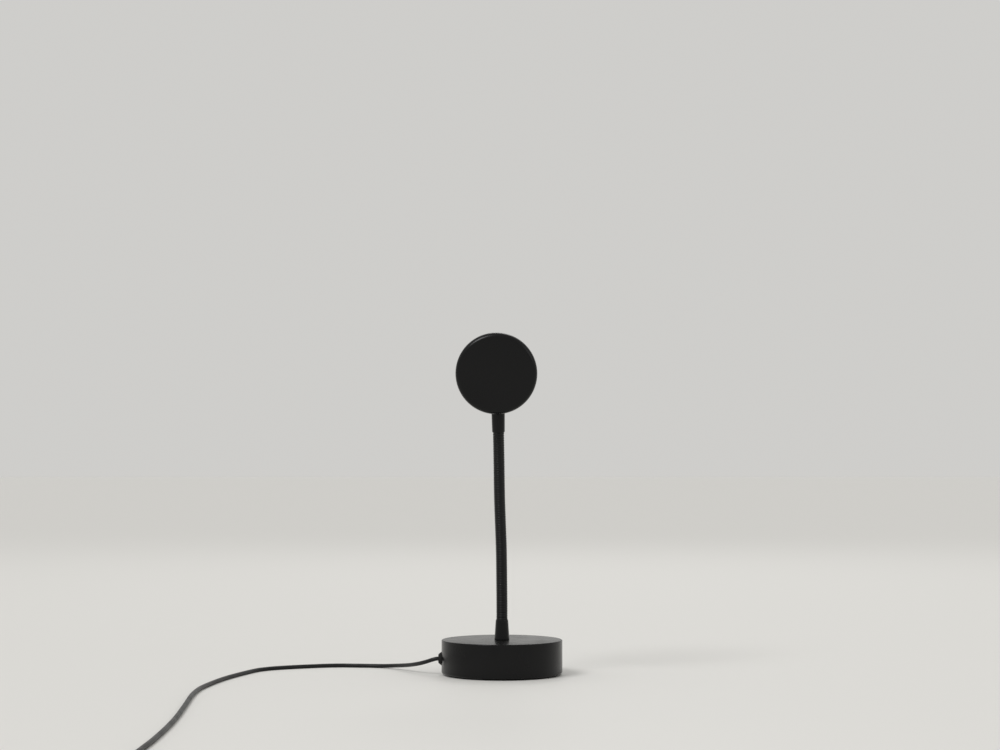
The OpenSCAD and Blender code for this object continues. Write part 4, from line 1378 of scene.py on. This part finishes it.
@dataclass
class Barrel(HeadPart):
    """The lens barrel, the ring that closes it and the lens between them."""

    radius: float = 25.0  # Radius of the lens barrel
    length: float = 12.0  # How far it stands out of the housing
    back: float = 12.3  # Where its inner end is
    lens_radius: float = 20.9  # Radius of the lens
    lens_bulge: float = 6.0  # Height of its bulge
    lens_edge: float = 2.0  # Thickness of its edge
    lens_bevel: float = 0.25  # Slanted edge of its back
    lens_ledge: float = 1.7  # Width of the flat ledge round its bulge
    bore_ledge: float = 1.0  # How far the bore is narrower than the lens
    gasket: float = 0.8  # Thickness of its gasket
    ring: float = 2.0  # How far the front ring stands out of the barrel
    ring_thread: float = 1.6  # How far the ring's thread is wider than the lens
    ring_fit: float = 0.1  # Play of that thread
    ring_lip: float = 0.4  # How far the ring stays away from the lens's bulge
    ring_edge: float = 0.8  # Slanted edge round the ring
    ring_mouth: float = 1.2  # Slanted edge round its opening
    slot: tuple[float, float, float] = (2.6, 1.4, 1.6)  # Size of a slot for the ring's key
    slot_out: float = 0.4  # How far the slots are outside the middle of the ring's face
    slot_sunk: float = 0.1  # How far in front of the middle of a slot the ring's face lies
    grips: tuple[float, ...] = (20.5, 22.5, 24.5, 26.5)  # Where the grip grooves start
    grip: float = 0.4  # Depth of a groove
    # How far behind its start a groove's corners are
    grip_marks: tuple[float, float, float] = (0.4, 0.8, 1.2)
    baffles: int = 6  # How many baffles there are
    baffle: float = 0.5  # Depth of a baffle's groove
    # How far behind its start such a groove's corners are
    baffle_marks: tuple[float, float, float] = (0.2, 0.8, 1.0)
    baffle_pitch: float = 1.6  # Distance from one to the next
    baffle_start: float = 1.5  # How far behind the lens's seat the first one starts
    broken: float = 0.14  # Width of its broken edges

    def build(self) -> None:
        """Builds the barrel, its ring and its lens."""
        end = self.front + self.length
        self.tube(end, end - self.ring)
        self.front_ring(end, end - self.ring)
        self.lens(end - self.ring)

    def tube(self, end: float, lens_front: float) -> None:
        """Turns the barrel, with its grip grooves and the baffles inside.

        Args:
            end: where the barrel ends.
            lens_front: where the front of the lens's edge is.
        """
        bore, seat = self.lens_radius - self.bore_ledge, self.lens_radius + self.fit
        shoulder = lens_front - self.lens_edge - self.gasket
        thread = self.lens_radius + self.ring_thread + self.ring_fit
        near, far, done = self.grip_marks
        grip = []
        for start in self.grips:
            grip += [
                (self.radius, start), (self.radius - self.grip, start + near),
                (self.radius - self.grip, start + far), (self.radius, start + done),
            ]
        near, far, done = self.baffle_marks
        baffles = []
        for i in range(self.baffles):
            start = shoulder - self.baffle_start - i * self.baffle_pitch
            baffles += [
                (bore, start), (bore + self.baffle, start - near),
                (bore + self.baffle, start - far), (bore, start - done),
            ]
        barrel = self.turn_piece("lens_tube", [
            (bore, self.back), (self.thread, self.back), (self.thread, self.front),
            (self.radius, self.front), *grip, (self.radius, end), (thread, end),
            (thread, lens_front), (seat, lens_front), (seat, shoulder), (bore, shoulder),
            *baffles, (bore, self.back),
        ], self.facets, self.broken)
        self.seat(smoothed(barrel), BLACK_ALUMINIUM, "head", "lens_barrel")

    def front_ring(self, start: float, lens_front: float) -> None:
        """Turns the ring that holds the lens and mills the two slots for its key.

        Args:
            start: where the ring meets the barrel's end.
            lens_front: where the front of the lens's edge is.
        """
        bore = self.lens_radius - self.lens_ledge + self.ring_lip
        thread = self.lens_radius + self.ring_thread
        end = start + self.ring
        ring = turned("lens_ring", [
            (bore, lens_front), (thread, lens_front), (thread, start), (self.radius, start),
            (self.radius, end - self.ring_edge), (self.radius - self.ring_edge, end),
            (bore + self.ring_mouth, end), (bore, end - self.ring_mouth), (bore, lens_front),
        ], self.facets)
        out = (bore + self.radius) / 2 + self.slot_out
        for side in (-1, 1):
            slot = block("slot", self.slot, (side * out, 0, end - self.slot_sunk))
            carved(ring, slot, Carving.CUT)
        eased(ring, self.broken, segments=2)
        settled(ring, self.place @ Axis.LIGHT.value)
        self.seat(smoothed(ring), BLACK_ALUMINIUM, "head", "front_ring")

    def lens(self, front: float) -> None:
        """Grinds the plano-convex lens.

        Args:
            front: where the front of its edge is.
        """
        back = front - self.lens_edge
        dome = self.lens_radius - self.lens_ledge
        curve = (dome**2 + self.lens_bulge**2) / (2 * self.lens_bulge)
        span = math.degrees(math.asin(dome / curve))
        lens = self.turn_piece("convex_lens", [
            (0, back), (self.lens_radius - self.lens_bevel, back),
            (self.lens_radius, back + self.lens_bevel), (self.lens_radius, front),
            *arc((0, front + self.lens_bulge - curve), curve, 90 - span, 90, 28),
        ], facets=160)
        self.seat(smoothed(lens, over=24), CROWN_GLASS, "head", "projection_lens")


@dataclass
class Light(HeadPart):
    """The light: its emitter, the reflector round it and the coloured filter."""

    filter_radius: float = 15.0  # Radius of the filter
    filter_back: float = 9.2  # Where the filter's back is
    filter_thick: float = 1.1  # Its thickness
    filter_bevel: float = 0.15  # Its slanted edge
    # Shares of its radius where its faces are divided, for its colours
    filter_rings: tuple[float, ...] = (0.25, 0.5, 0.75)
    cup_mouth: float = 13.0  # Radius of the reflector's mouth
    cup_throat: float = 4.0  # Radius of its throat
    cup_curve: float = 0.75  # Power of its curve
    cup_wall: float = 1.0  # Its thickness
    cup_rim: float = 0.6  # How far its flange's back starts outside its mouth
    board_front: float = -9.4  # Where the face of the light's board is
    base_radius: float = 3.4  # Radius of the emitter's base
    base_height: float = 0.8  # Its height
    base_edge: float = 0.1  # Its slanted edges
    dome: float = 2.4  # Radius of the dome over the phosphor

    def build(self) -> None:
        """Builds the filter, the reflector and the emitter."""
        self.filter()
        self.reflector()
        self.emitter()

    def filter(self) -> None:
        """Cuts the coated filter disc and marks how far out each of its points lies."""
        edge, bevel = self.filter_radius, self.filter_bevel
        rings = [edge * share for share in self.filter_rings]
        back, front = self.filter_back, self.filter_back + self.filter_thick
        disc = turned("coated_filter", [
            (0, back), *((ring, back) for ring in rings), (edge - bevel, back),
            (edge, back + bevel), (edge, front - bevel), (edge - bevel, front),
            *((ring, front) for ring in reversed(rings)), (0, front),
        ], facets=96)
        share = disc.data.attributes.new(SUNSET_COATING.share, "FLOAT", "POINT")
        for vert, value in zip(disc.data.vertices, share.data):
            value.value = vert.co.xy.length / (edge * MM)
        settled(disc, self.place @ Axis.LIGHT.value)
        self.seat(smoothed(disc), SUNSET_COATING, "head", "sunset_filter")

    def reflector(self) -> None:
        """Moulds the reflector cup as a smooth curve from its throat to its mouth."""
        steps = 20
        depth = self.filter_back - self.board_front
        widen = self.cup_mouth - self.cup_throat
        inside = [
            (self.cup_throat + widen * share**self.cup_curve, self.board_front + depth * share)
            for share in (i / steps for i in range(steps + 1))
        ]
        outside = [(radius + self.cup_wall, place) for radius, place in reversed(inside[:-1])]
        rim = self.thread - self.fit
        cup = self.turn_piece("reflector_bowl", [
            *inside, (rim, self.filter_back), (rim, self.web),
            (self.cup_mouth + self.cup_rim, self.web), *outside, inside[0],
        ], facets=128)
        self.seat(smoothed(cup), METALLISED, "head", "reflector_cup")

    def emitter(self) -> None:
        """Builds the light's ceramic base and the dome over its phosphor."""
        wide, edge = self.base_radius, self.base_edge
        base, top = self.board_front, self.board_front + self.base_height
        plate = self.turn_piece("emitter_base", [
            (0, base), (wide - edge, base), (wide, base + edge), (wide, top - edge),
            (wide - edge, top), (0, top),
        ], facets=48)
        self.seat(smoothed(plate), CERAMIC, "head", "led_emitter")
        half_round = [(0, top), *arc((0, top), self.dome, 0, 90, 12)]
        dome = self.turn_piece("emitter_dome", half_round, facets=48)
        self.seat(smoothed(dome), PHOSPHOR, "head", "led_emitter")


# The cord's listed way from the outlet bush, down to the table and out of view, in metres.
CORD_ROUTE = (
    (-0.0474, 0, 0.0119), (-0.0494, 0, 0.0117), (-0.0524, 0.0008, 0.0108),
    (-0.056, 0.0034, 0.0094), (-0.0605, 0.008, 0.0078), (-0.065, 0.014, 0.0064),
    (-0.07, 0.022, 0.005), (-0.0755, 0.031, 0.0038), (-0.082, 0.04, 0.0027),
    (-0.09, 0.047, 0.0018), (-0.0995, 0.051, 0.0015), (-0.11, 0.0525, 0.0015),
    (-0.122, 0.054, 0.0015), (-0.133, 0.053, 0.0015), (-0.142, 0.05, 0.0015),
    (-0.151, 0.046, 0.0015), (-0.16, 0.0415, 0.0015), (-0.169, 0.036, 0.0015),
    (-0.177, 0.0295, 0.0015), (-0.1845, 0.019, 0.0015), (-0.1905, 0.001, 0.0015),
    (-0.1962, -0.02, 0.0015), (-0.2015, -0.044, 0.0015), (-0.2058, -0.074, 0.0015),
    (-0.2088, -0.108, 0.0015), (-0.208, -0.145, 0.0015), (-0.2045, -0.19, 0.0015),
    (-0.2015, -0.228, 0.0015), (-0.199, -0.262, 0.0015), (-0.197, -0.298, 0.0015),
    (-0.1957, -0.336, 0.0015), (-0.195, -0.368, 0.0015), (-0.195, -0.4, 0.0015),
    (-0.195, -0.432, 0.0015), (-0.195, -0.464, 0.0015), (-0.195, -0.498, 0.0015),
)


@dataclass
class Switch(Assembly):
    """The in-line switch: a case of two halves, and a rocker that tips on its pin."""

    row: float  # Y of the cord's run through it
    length: float = 38.0  # Length of the case
    width: float = 14.0  # Its width
    height: float = 9.6  # Its height
    edge: float = 1.1  # Rounding of its outer edges
    seam: float = 0.06  # Half the gap between its halves
    hollow: float = 17.0  # Length of the room inside
    side_wall: float = 1.8  # Thickness of the wall beside that room
    floor_wall: float = 1.6  # Thickness of the wall below it
    roof_wall: float = 1.4  # Thickness of the wall above it
    rocker: tuple[float, float] = (12.0, 6.4)  # Length and width of the rocker
    gap: float = 0.3  # Gap round the rocker
    tilt: float = 7.0  # Tilt of the rocker, in degrees
    pivot: float = 2.2  # How far its pin is below the case's top
    pin: float = 1.0  # Radius of the pin
    pin_end: float = 1.4  # How far the pin's ends are from the case's sides
    # Corners of the rocker's ends, upwards: how far in from its end, and how high above the pin
    end: tuple[Point, ...] = ((0.2, 0.2), (0.0, 1.6), (0.5, 3.2))
    # Half the width of its lower face, and that face's height above the pin
    keel: Point = (3.0, -1.6)
    # Height of its top's middle above the pin, and how much the ends are higher
    dish: Point = (2.55, 0.8)
    # Where the curve of its top is drawn, from its middle
    dish_points: tuple[float, ...] = (-4.6, -3.2, -1.6, 0, 1.6, 3.2, 4.6)
    # Where its ridges for the finger are, from its middle
    ridges: tuple[float, ...] = (3.0, 3.8, 4.6)
    ridge: Point = (0.36, 0.5)  # A ridge's width and height
    ridge_up: float = 0.17  # How far a ridge's middle is above the dish
    ridge_end: float = 1.0  # How far the ridges stay away from the rocker's sides
    broken: Point = (0.18, 0.16)  # Width of the case's and the rocker's broken edges

    def middle(self) -> float:
        """Returns the X of the switch's middle, which the frame says."""
        low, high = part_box("switch_case_bottom")
        return (low.x + high.x) / 2 / MM

    def build(self) -> list[Object]:
        """Moulds the case's halves and the rocker.

        Returns:
            The new pieces.
        """
        x, top, seam = self.middle(), self.height, self.height / 2
        room = self.height - self.floor_wall - self.roof_wall
        hollow = (self.hollow, self.width - 2 * self.side_wall, room)
        inside = (x, self.row, self.floor_wall + room / 2)
        bottom = self.case_half("switch_base", 0, seam - self.seam)
        cover = self.case_half("switch_cover", seam + self.seam, top)
        for half in (bottom, cover):
            carved(half, block("hollow", hollow, inside), Carving.CUT)
        length, width = (size + 2 * self.gap for size in self.rocker)
        opening = block("opening", (length, width, self.height), (x, self.row, top))
        carved(cover, opening, Carving.CUT)
        for half in (bottom, cover):
            eased(half, self.broken[0], segments=2, over=50)
        pieces = [
            self.seat(smoothed(bottom), BLACK_ABS, "base", "switch_case_bottom"),
            self.seat(smoothed(cover), BLACK_ABS, "base", "switch_case_top"),
            self.rocker_piece(shift(x, self.row, top - self.pivot)),
        ]
        self.carry(GOLD_FLASH, "switch_contacts")
        return pieces

    def case_half(self, name: str, bottom: float, top: float) -> Object:
        """Moulds one half of the case, without its openings.

        Args:
            name: the half's name.
            bottom: the height of its lower face.
            top: the height of its upper face.

        Returns:
            The half, in place.
        """
        wide = self.width / 2
        inset = wide - self.edge
        if bottom > 0:
            rim = [(wide, bottom), *arc((inset, top - self.edge), self.edge, 0, 90, 6)]
        else:
            rim = [*arc((inset, bottom + self.edge), self.edge, -90, 0, 6), (wide, top)]
        half = turned(name, [(0, bottom), *rim, (0, top)], facets=62)
        stretched(half, self.length / 2 - wide)
        return settled(half, shift(self.middle(), self.row, 0))

    def rocker_piece(self, place: Matrix) -> Object:
        """Moulds the rocker, with a dished top and three ridges for the finger at one end.

        Args:
            place: the place of its pin.

        Returns:
            The rocker.
        """
        length, width = self.rocker
        low, rise = self.dish
        dish = {x: low + rise * (2 * x / length) ** 2 for x in (*self.dish_points, *self.ridges)}
        right = [(length / 2 - inset, up) for inset, up in self.end]
        left = [(-x, up) for x, up in right]
        keel, under = self.keel
        piece = drawn("rocker_key", [
            *left, *((x, dish[x]) for x in self.dish_points), *reversed(right),
            (keel, under), (-keel, under), left[0],
        ])
        cleaned(piece)
        with editing(piece):
            bpy.ops.mesh.edge_face_add()
            extrude(0, width, 0)
        settled(piece, shift(0, -width / 2, 0))
        cleaned(piece)
        span = self.width - 2 * self.pin_end
        across = shift(0, span / 2, 0) @ swing(90, "X")
        carved(piece, rod("pin", self.pin, span, across, facets=32), Carving.FUSE)
        wide, high = self.ridge
        for x in self.ridges:
            size = (wide, width - 2 * self.ridge_end, high)
            carved(piece, block("ridge", size, (x, 0, dish[x] + self.ridge_up)), Carving.FUSE)
        eased(piece, self.broken[1], segments=2, over=40)
        settled(piece, place @ swing(self.tilt, "Y"))
        return self.seat(smoothed(piece), BLACK_ABS, "rocker", "switch_rocker")


@dataclass
class Plug(Assembly):
    """The plug: a ribbed grip and the metal shell in it."""

    row: float  # Y of the cord's run into it
    grip: tuple[float, float, float] = (26.0, 15.6, 8.0)  # Length, width and height of its grip
    side_edge: float = 2.4  # Rounding of the grip's long edges
    end_edge: float = 1.0  # Rounding of its ends' edges
    ribs: int = 4  # How many grooves for the fingers each side has
    rib: Point = (1.1, 0.9)  # Width and depth of the tool that cuts one
    rib_over: float = 1.0  # How far that tool reaches past the grip's top and bottom
    rib_start: float = 5.5  # How far the first one is from the grip's start
    rib_pitch: float = 2.4  # Distance from one to the next
    shell: Point = (12.0, 4.5)  # Width and height of the metal shell
    shell_out: float = 12.0  # How far it stands out
    shell_in: float = 3.0  # How far it reaches into the grip
    shell_wall: float = 0.4  # Its thickness
    shell_edge: float = 0.5  # Rounding of its long edges
    # Length of the tool that cuts its pocket, and how far its middle is inside
    pocket: Point = (4.0, 1.0)
    # Width of the windows in its top, and how far each is from the middle
    windows: Point = (2.4, 2.8)
    window_place: float = 9.2  # How far they are from its inner end
    broken: Point = (0.15, 0.08)  # Widths of the grip's and the shell's broken edges

    def start(self) -> float:
        """Returns the X where the grip starts, which the frame says."""
        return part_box("plug_grip")[0].x / MM

    def build(self) -> list[Object]:
        """Moulds the grip and folds the shell.

        Returns:
            The new pieces, and the CAD nodes in them that keep their shape.
        """
        pieces = [
            self.seat(smoothed(self.grip_piece()), BLACK_ABS, "base", "plug_grip"),
            self.seat(smoothed(self.shell_piece()), NICKEL, "base", "plug_shell"),
        ]
        self.carry(WHITE_PBT, "plug_tongue")
        self.carry(GOLD_FLASH, "plug_contacts")
        return [*pieces, *(frame["nodes"][name] for name in ("plug_tongue", "plug_contacts"))]

    def grip_piece(self) -> Object:
        """Moulds the grip, with its grooves for the fingers and the shell's pocket."""
        length, width, height = self.grip
        start, middle = self.start(), height / 2
        ends = (start, start + length)
        grip = block("plug_body", self.grip, (start + length / 2, self.row, middle))
        rounded_edges(grip, self.side_edge, 6, lambda at, way: abs(way.x) > ALONG)
        rounded_edges(
            grip, self.end_edge, 4, lambda at, way: min(abs(at.x - end) for end in ends) < NEAR
        )
        size = (*self.rib, height + 2 * self.rib_over)
        for side in (-1, 1):
            for i in range(self.ribs):
                x, y = start + self.rib_start + self.rib_pitch * i, self.row + side * width / 2
                carved(grip, block("rib", size, (x, y, middle)), Carving.CUT)
        deep, inside = self.pocket
        pocket = block("pocket", (deep, *self.shell), (ends[1] - inside, self.row, middle))
        carved(grip, pocket, Carving.CUT)
        return eased(grip, self.broken[0], segments=2, over=45)

    def shell_piece(self) -> Object:
        """Folds the metal shell, with its two windows."""
        wide, high = self.shell
        middle, wall = self.grip[2] / 2, self.shell_wall
        start = self.start() + self.grip[0] - self.shell_in
        length = self.shell_in + self.shell_out
        shell = block("plug_tube", (length, wide, high), (start + length / 2, self.row, middle))
        rounded_edges(shell, self.shell_edge, 4, lambda at, way: abs(way.x) > ALONG)
        room = (length, wide - 2 * wall, high - 2 * wall)
        inner = block("inner", room, (start + wall + length / 2, self.row, middle))
        carved(shell, inner, Carving.CUT)
        size, out = self.windows
        for side in (-1, 1):
            at = (start + self.window_place, self.row + side * out, middle + high / 2)
            carved(shell, block("window", (size, size, high), at), Carving.CUT)
        return eased(shell, self.broken[1], segments=2, over=50)


@dataclass
class Cord(Assembly):
    """The cord from the base to its plug, with its coil and the strap on it."""

    radius: float = 1.5  # Half the cord's thickness
    coil: Point = (-175.5, -506.0)  # Middle of the coil on the table
    # Turns of the coil in the order in which they are wound, each its radius and its height in
    # steps of one cord from the middle of the bundle
    rows: tuple[tuple[int, int], ...] = (
        (1, -1), (0, -1), (-1, -1), (-1, 0), (-1, 1), (0, 1), (0, 0), (1, 0), (1, 1),
    )
    core: float = 5.5  # Radius of the bundle's middle, in cords
    layers: float = 1.5  # Half the bundle's height, in cords
    # How wide the angle is over which a turn moves to its next place, in degrees
    step: float = 80.0
    # How much sooner each such move comes than the one before, as a share of the step
    sooner: float = 0.3
    over_turn: float = 0.25  # How far the coil goes on past its last whole turn, in turns
    per_turn: int = 36  # Points on a turn
    smoothness: int = 4  # Parts between two of the listed points
    inside: float = 3.4  # Height of the cord in the switch
    strap_width: float = 4.2  # Width of the strap
    strap_wall: float = 0.6  # Its thickness
    strap_play: float = 0.1  # Play of the turns in it
    strap_edge: float = 1.4  # Rounding of its bends
    strap_broken: float = 0.15  # Width of its broken edges
    strap_at: float = 42.0  # Where it is on the coil, in degrees from +X

    def build(self) -> None:
        """Lays the cord and puts its pieces on it."""
        row = self.coil[1] - (self.core + 1) * 2 * self.radius
        switch, plug = Switch(row), Plug(row)
        path = self.path(switch, plug)
        cord = self.tube(path)
        self.seat(cord, CORD_SKIN, "base", "power_cord", "cord_coil", "switch_cord", "plug_cord")
        pieces = [self.strap(), *switch.build(), *plug.build(), frame["nodes"]["switch_contacts"]]

    def turn_at(self, wound: float) -> Vector:
        """Finds a point of the coil.

        Args:
            wound: how many turns lie before it.

        Returns:
            The point, in metres.
        """
        sooner = self.step * self.sooner / 360
        ends = [row + 1 - sooner * row for row in range(len(self.rows) - 1)]
        row = next((row for row, end in enumerate(ends) if wound < end), len(ends) - 1)
        share = min(max((wound - ends[row]) * 360 / self.step + 1, 0), 1)
        soft_share = (1 - math.cos(math.pi * share)) / 2
        here, after = self.rows[row], self.rows[row + 1]
        out, up = (a + (b - a) * soft_share for a, b in zip(here, after))
        thick = 2 * self.radius
        reach = (self.core + out) * thick
        angle = math.pi + wound * math.tau
        centre = Vector((*self.coil, self.layers * thick))
        arm = Vector((reach * math.cos(angle), reach * math.sin(angle), up * thick))
        return (centre + arm) * MM

    def path(self, switch: Switch, plug: Plug) -> list[Vector]:
        """Lays the cord: its listed way, the coil, and the run through the switch.

        Args:
            switch: the in-line switch.
            plug: the plug.

        Returns:
            The points of its middle line.
        """
        points = round((len(self.rows) - 1 + self.over_turn) * self.per_turn)
        wound = [self.turn_at(i / self.per_turn) for i in range(points + 1)]
        route = through([*map(Vector, CORD_ROUTE), wound[0]], self.smoothness)[:-1]
        middle, inside = switch.height / 2, self.inside
        x, half = switch.middle(), switch.length / 2
        start, end = x - half, x + half
        grip, high = plug.start(), plug.grip[2] / 2
        coil, leave = self.coil[0], wound[-1].z / MM
        # The run is listed point by point: the place of each point along X, and the height of its
        # middle.
        tail = [
            (coil + 6, leave - 0.2), (coil + 12, (leave + middle) / 2 + 0.2),
            (start - 3, middle), (start + 1, middle - 0.1), (start + 9, inside), (x, inside - 0.1),
            (end - 9, inside), (end - 1, middle - 0.2), (end + 3, middle - 0.2),
            (grip - 3, high + 0.1), (grip + 3, high), (grip + 8, high),
        ]
        run = [wound[-1], *(Vector((along, switch.row, up)) * MM for along, up in tail)]
        return [*route, *wound, *through(run, self.smoothness)[1:]]

    def tube(self, path: Sequence[Vector]) -> Object:
        """Draws the cord's round skin along a path, as one curve."""
        curve = bpy.data.curves.new("supply_cord", "CURVE")
        curve.dimensions = "3D"
        curve.bevel_depth = self.radius * MM
        curve.bevel_resolution = 5
        curve.use_fill_caps = True
        spline = curve.splines.new("POLY")
        spline.points.add(len(path) - 1)
        for point, place in zip(spline.points, path):
            point.co = (*place, 1)
        spline.use_smooth = True
        cord = bpy.data.objects.new("supply_cord", curve)
        bpy.context.scene.collection.objects.link(cord)
        return cord

    def strap(self) -> Object:
        """Bends the strap over the coil's turns, away from where the cord comes and goes."""
        thick = 2 * self.radius
        half = self.layers * thick + self.strap_play
        piece = block("coil_strap", (2 * half, self.strap_width, 2 * half), (0, 0, half))
        rounded_edges(
            piece, self.strap_edge, 6, lambda middle, way: abs(way.y) > ALONG and middle.z > half
        )
        with editing(piece):
            pick(
                piece, Part.FACE, lambda face: abs(face.normal.y) > ALONG or face.normal.z < -ALONG
            )
            bpy.ops.mesh.delete(type="FACE")
        modified(piece, "SOLIDIFY", thickness=self.strap_wall * MM, offset=1)
        eased(piece, self.strap_broken, segments=2)
        place = shift(*self.coil, 0) @ swing(self.strap_at, "Z") @ shift(self.core * thick, 0, 0)
        settled(piece, place)
        return self.seat(smoothed(piece, over=40), WOVEN_STRAP, "base", "coil_tie")


# ---------- Studio ----------


class Source(Enum):
    """What kind of light a lamp of the studio gives."""

    SUN = "SUN"
    SOFTBOX = "AREA"


@dataclass(frozen=True)
class Lamp:
    """One lamp of the studio, aimed at the middle of the object."""

    name: str
    source: Source  # A round softbox, or a sun, whose light reaches the whole floor alike
    # Where it hangs, or for a sun the side that it shines from, in metres
    place: tuple[float, float, float]
    strength: float  # Power of a softbox in watts, or strength of a sun
    size: float  # Softbox's width in metres, or the sun's width in degrees

    def hang(self, target: Vector) -> None:
        """Hangs the lamp, aimed at a target in metres."""
        light = bpy.data.lights.new(self.name, self.source.value)
        light.energy = self.strength
        if self.source is Source.SOFTBOX:
            light.shape = "DISK"
            light.size = self.size
        else:
            light.angle = math.radians(self.size)
        lamp = bpy.data.objects.new(self.name, light)
        lamp.location = self.place
        lamp.rotation_euler = (target - Vector(self.place)).to_track_quat("-Z", "Y").to_euler()
        bpy.context.scene.collection.objects.link(lamp)


@dataclass
class Studio:
    """The pale floor, the soft light and the camera at the photograph's angle."""

    focal_pixels: float = 1950.0  # Focal length of the photograph, in its own pixels
    picture_width: float = 1000.0  # Width of the photograph, in pixels
    sensor: float = 36.0  # Width of the camera's sensor, in millimetres
    reach: Point = (0.05, 60.0)  # Nearest and farthest that the camera sees, in metres
    distance: float = 1462.0  # How far the camera stands from the base's middle, in millimetres
    height: float = 150.7  # Its height above the table
    aside: float = 1.46  # How far it stands to the left of the base's middle
    pitch: float = 2.85  # How far it looks up, in degrees
    floor_size: float = 120.0  # Width of the floor, in metres
    paper: str = "#dddcd9"  # Colour of the floor, as an sRGB hex value
    paper_roughness: float = 0.6  # How matt the floor is
    paper_mirror: float = 0.3  # How much it mirrors face on
    surround: str = "#e4e3e0"  # Colour of the light from all around
    surround_strength: float = 0.8  # Its strength
    target: tuple[float, float, float] = (0, 0, 0.12)  # Where the lamps aim, in metres
    lamps: tuple[Lamp, ...] = (
        Lamp("sun", Source.SUN, (-1.5, -1.6, 2.6), 1.0, 25),
        Lamp("key", Source.SOFTBOX, (-1.2, -1.3, 1.7), 4.5, 0.8),
        Lamp("fill", Source.SOFTBOX, (1.5, -0.9, 1.0), 2, 0.9),
        Lamp("rim", Source.SOFTBOX, (0.2, 1.8, 1.7), 5, 0.9),
    )

    def camera(self) -> None:
        """Sets the camera up."""
        lens = bpy.data.cameras.new("camera")
        lens.sensor_width = self.sensor
        lens.lens = self.focal_pixels / self.picture_width * self.sensor
        lens.clip_start, lens.clip_end = self.reach
        camera = bpy.data.objects.new("camera", lens)
        camera.location = scaled((-self.aside, -self.distance, self.height))
        camera.rotation_euler = (math.radians(90 + self.pitch), 0, 0)
        bpy.context.scene.collection.objects.link(camera)
        bpy.context.scene.camera = camera

    def floor(self) -> None:
        """Lays the pale floor, which meets the surround in the same tone."""
        deselect()
        bpy.ops.mesh.primitive_plane_add(size=self.floor_size)
        floor = bpy.context.object
        floor.name = "floor"
        paper = bpy.data.materials.new("matt_white_paper")
        paper.use_nodes = True
        shader = paper.node_tree.nodes["Principled BSDF"]
        shader.inputs["Base Color"].default_value = linear(self.paper)
        shader.inputs["Roughness"].default_value = self.paper_roughness
        shader.inputs["Specular IOR Level"].default_value = self.paper_mirror
        floor.data.materials.append(paper)

    def lights(self) -> None:
        """Hangs the soft lights and the pale surround."""
        for lamp in self.lamps:
            lamp.hang(Vector(self.target))
        world = bpy.data.worlds.new("surround")
        world.use_nodes = True
        surround = world.node_tree.nodes["Background"]
        surround.inputs["Color"].default_value = linear(self.surround)
        surround.inputs["Strength"].default_value = self.surround_strength
        bpy.context.scene.world = world
        bpy.context.scene.view_settings.view_transform = "Standard"


def main() -> None:
    """Builds the studio, the cord and the lamp, in that order."""
    logging.basicConfig(level=logging.INFO, format="%(name)s: %(message)s")
    studio = Studio()
    studio.camera()
    Cord().build()
    Base().build()
    line = Neck().build()
    ferrules = Ferrules()
    ferrules.build(line)
    Head().build(line, ferrules.upper_height)
    studio.floor()
    studio.lights()


if __name__ == "__main__":
    main()
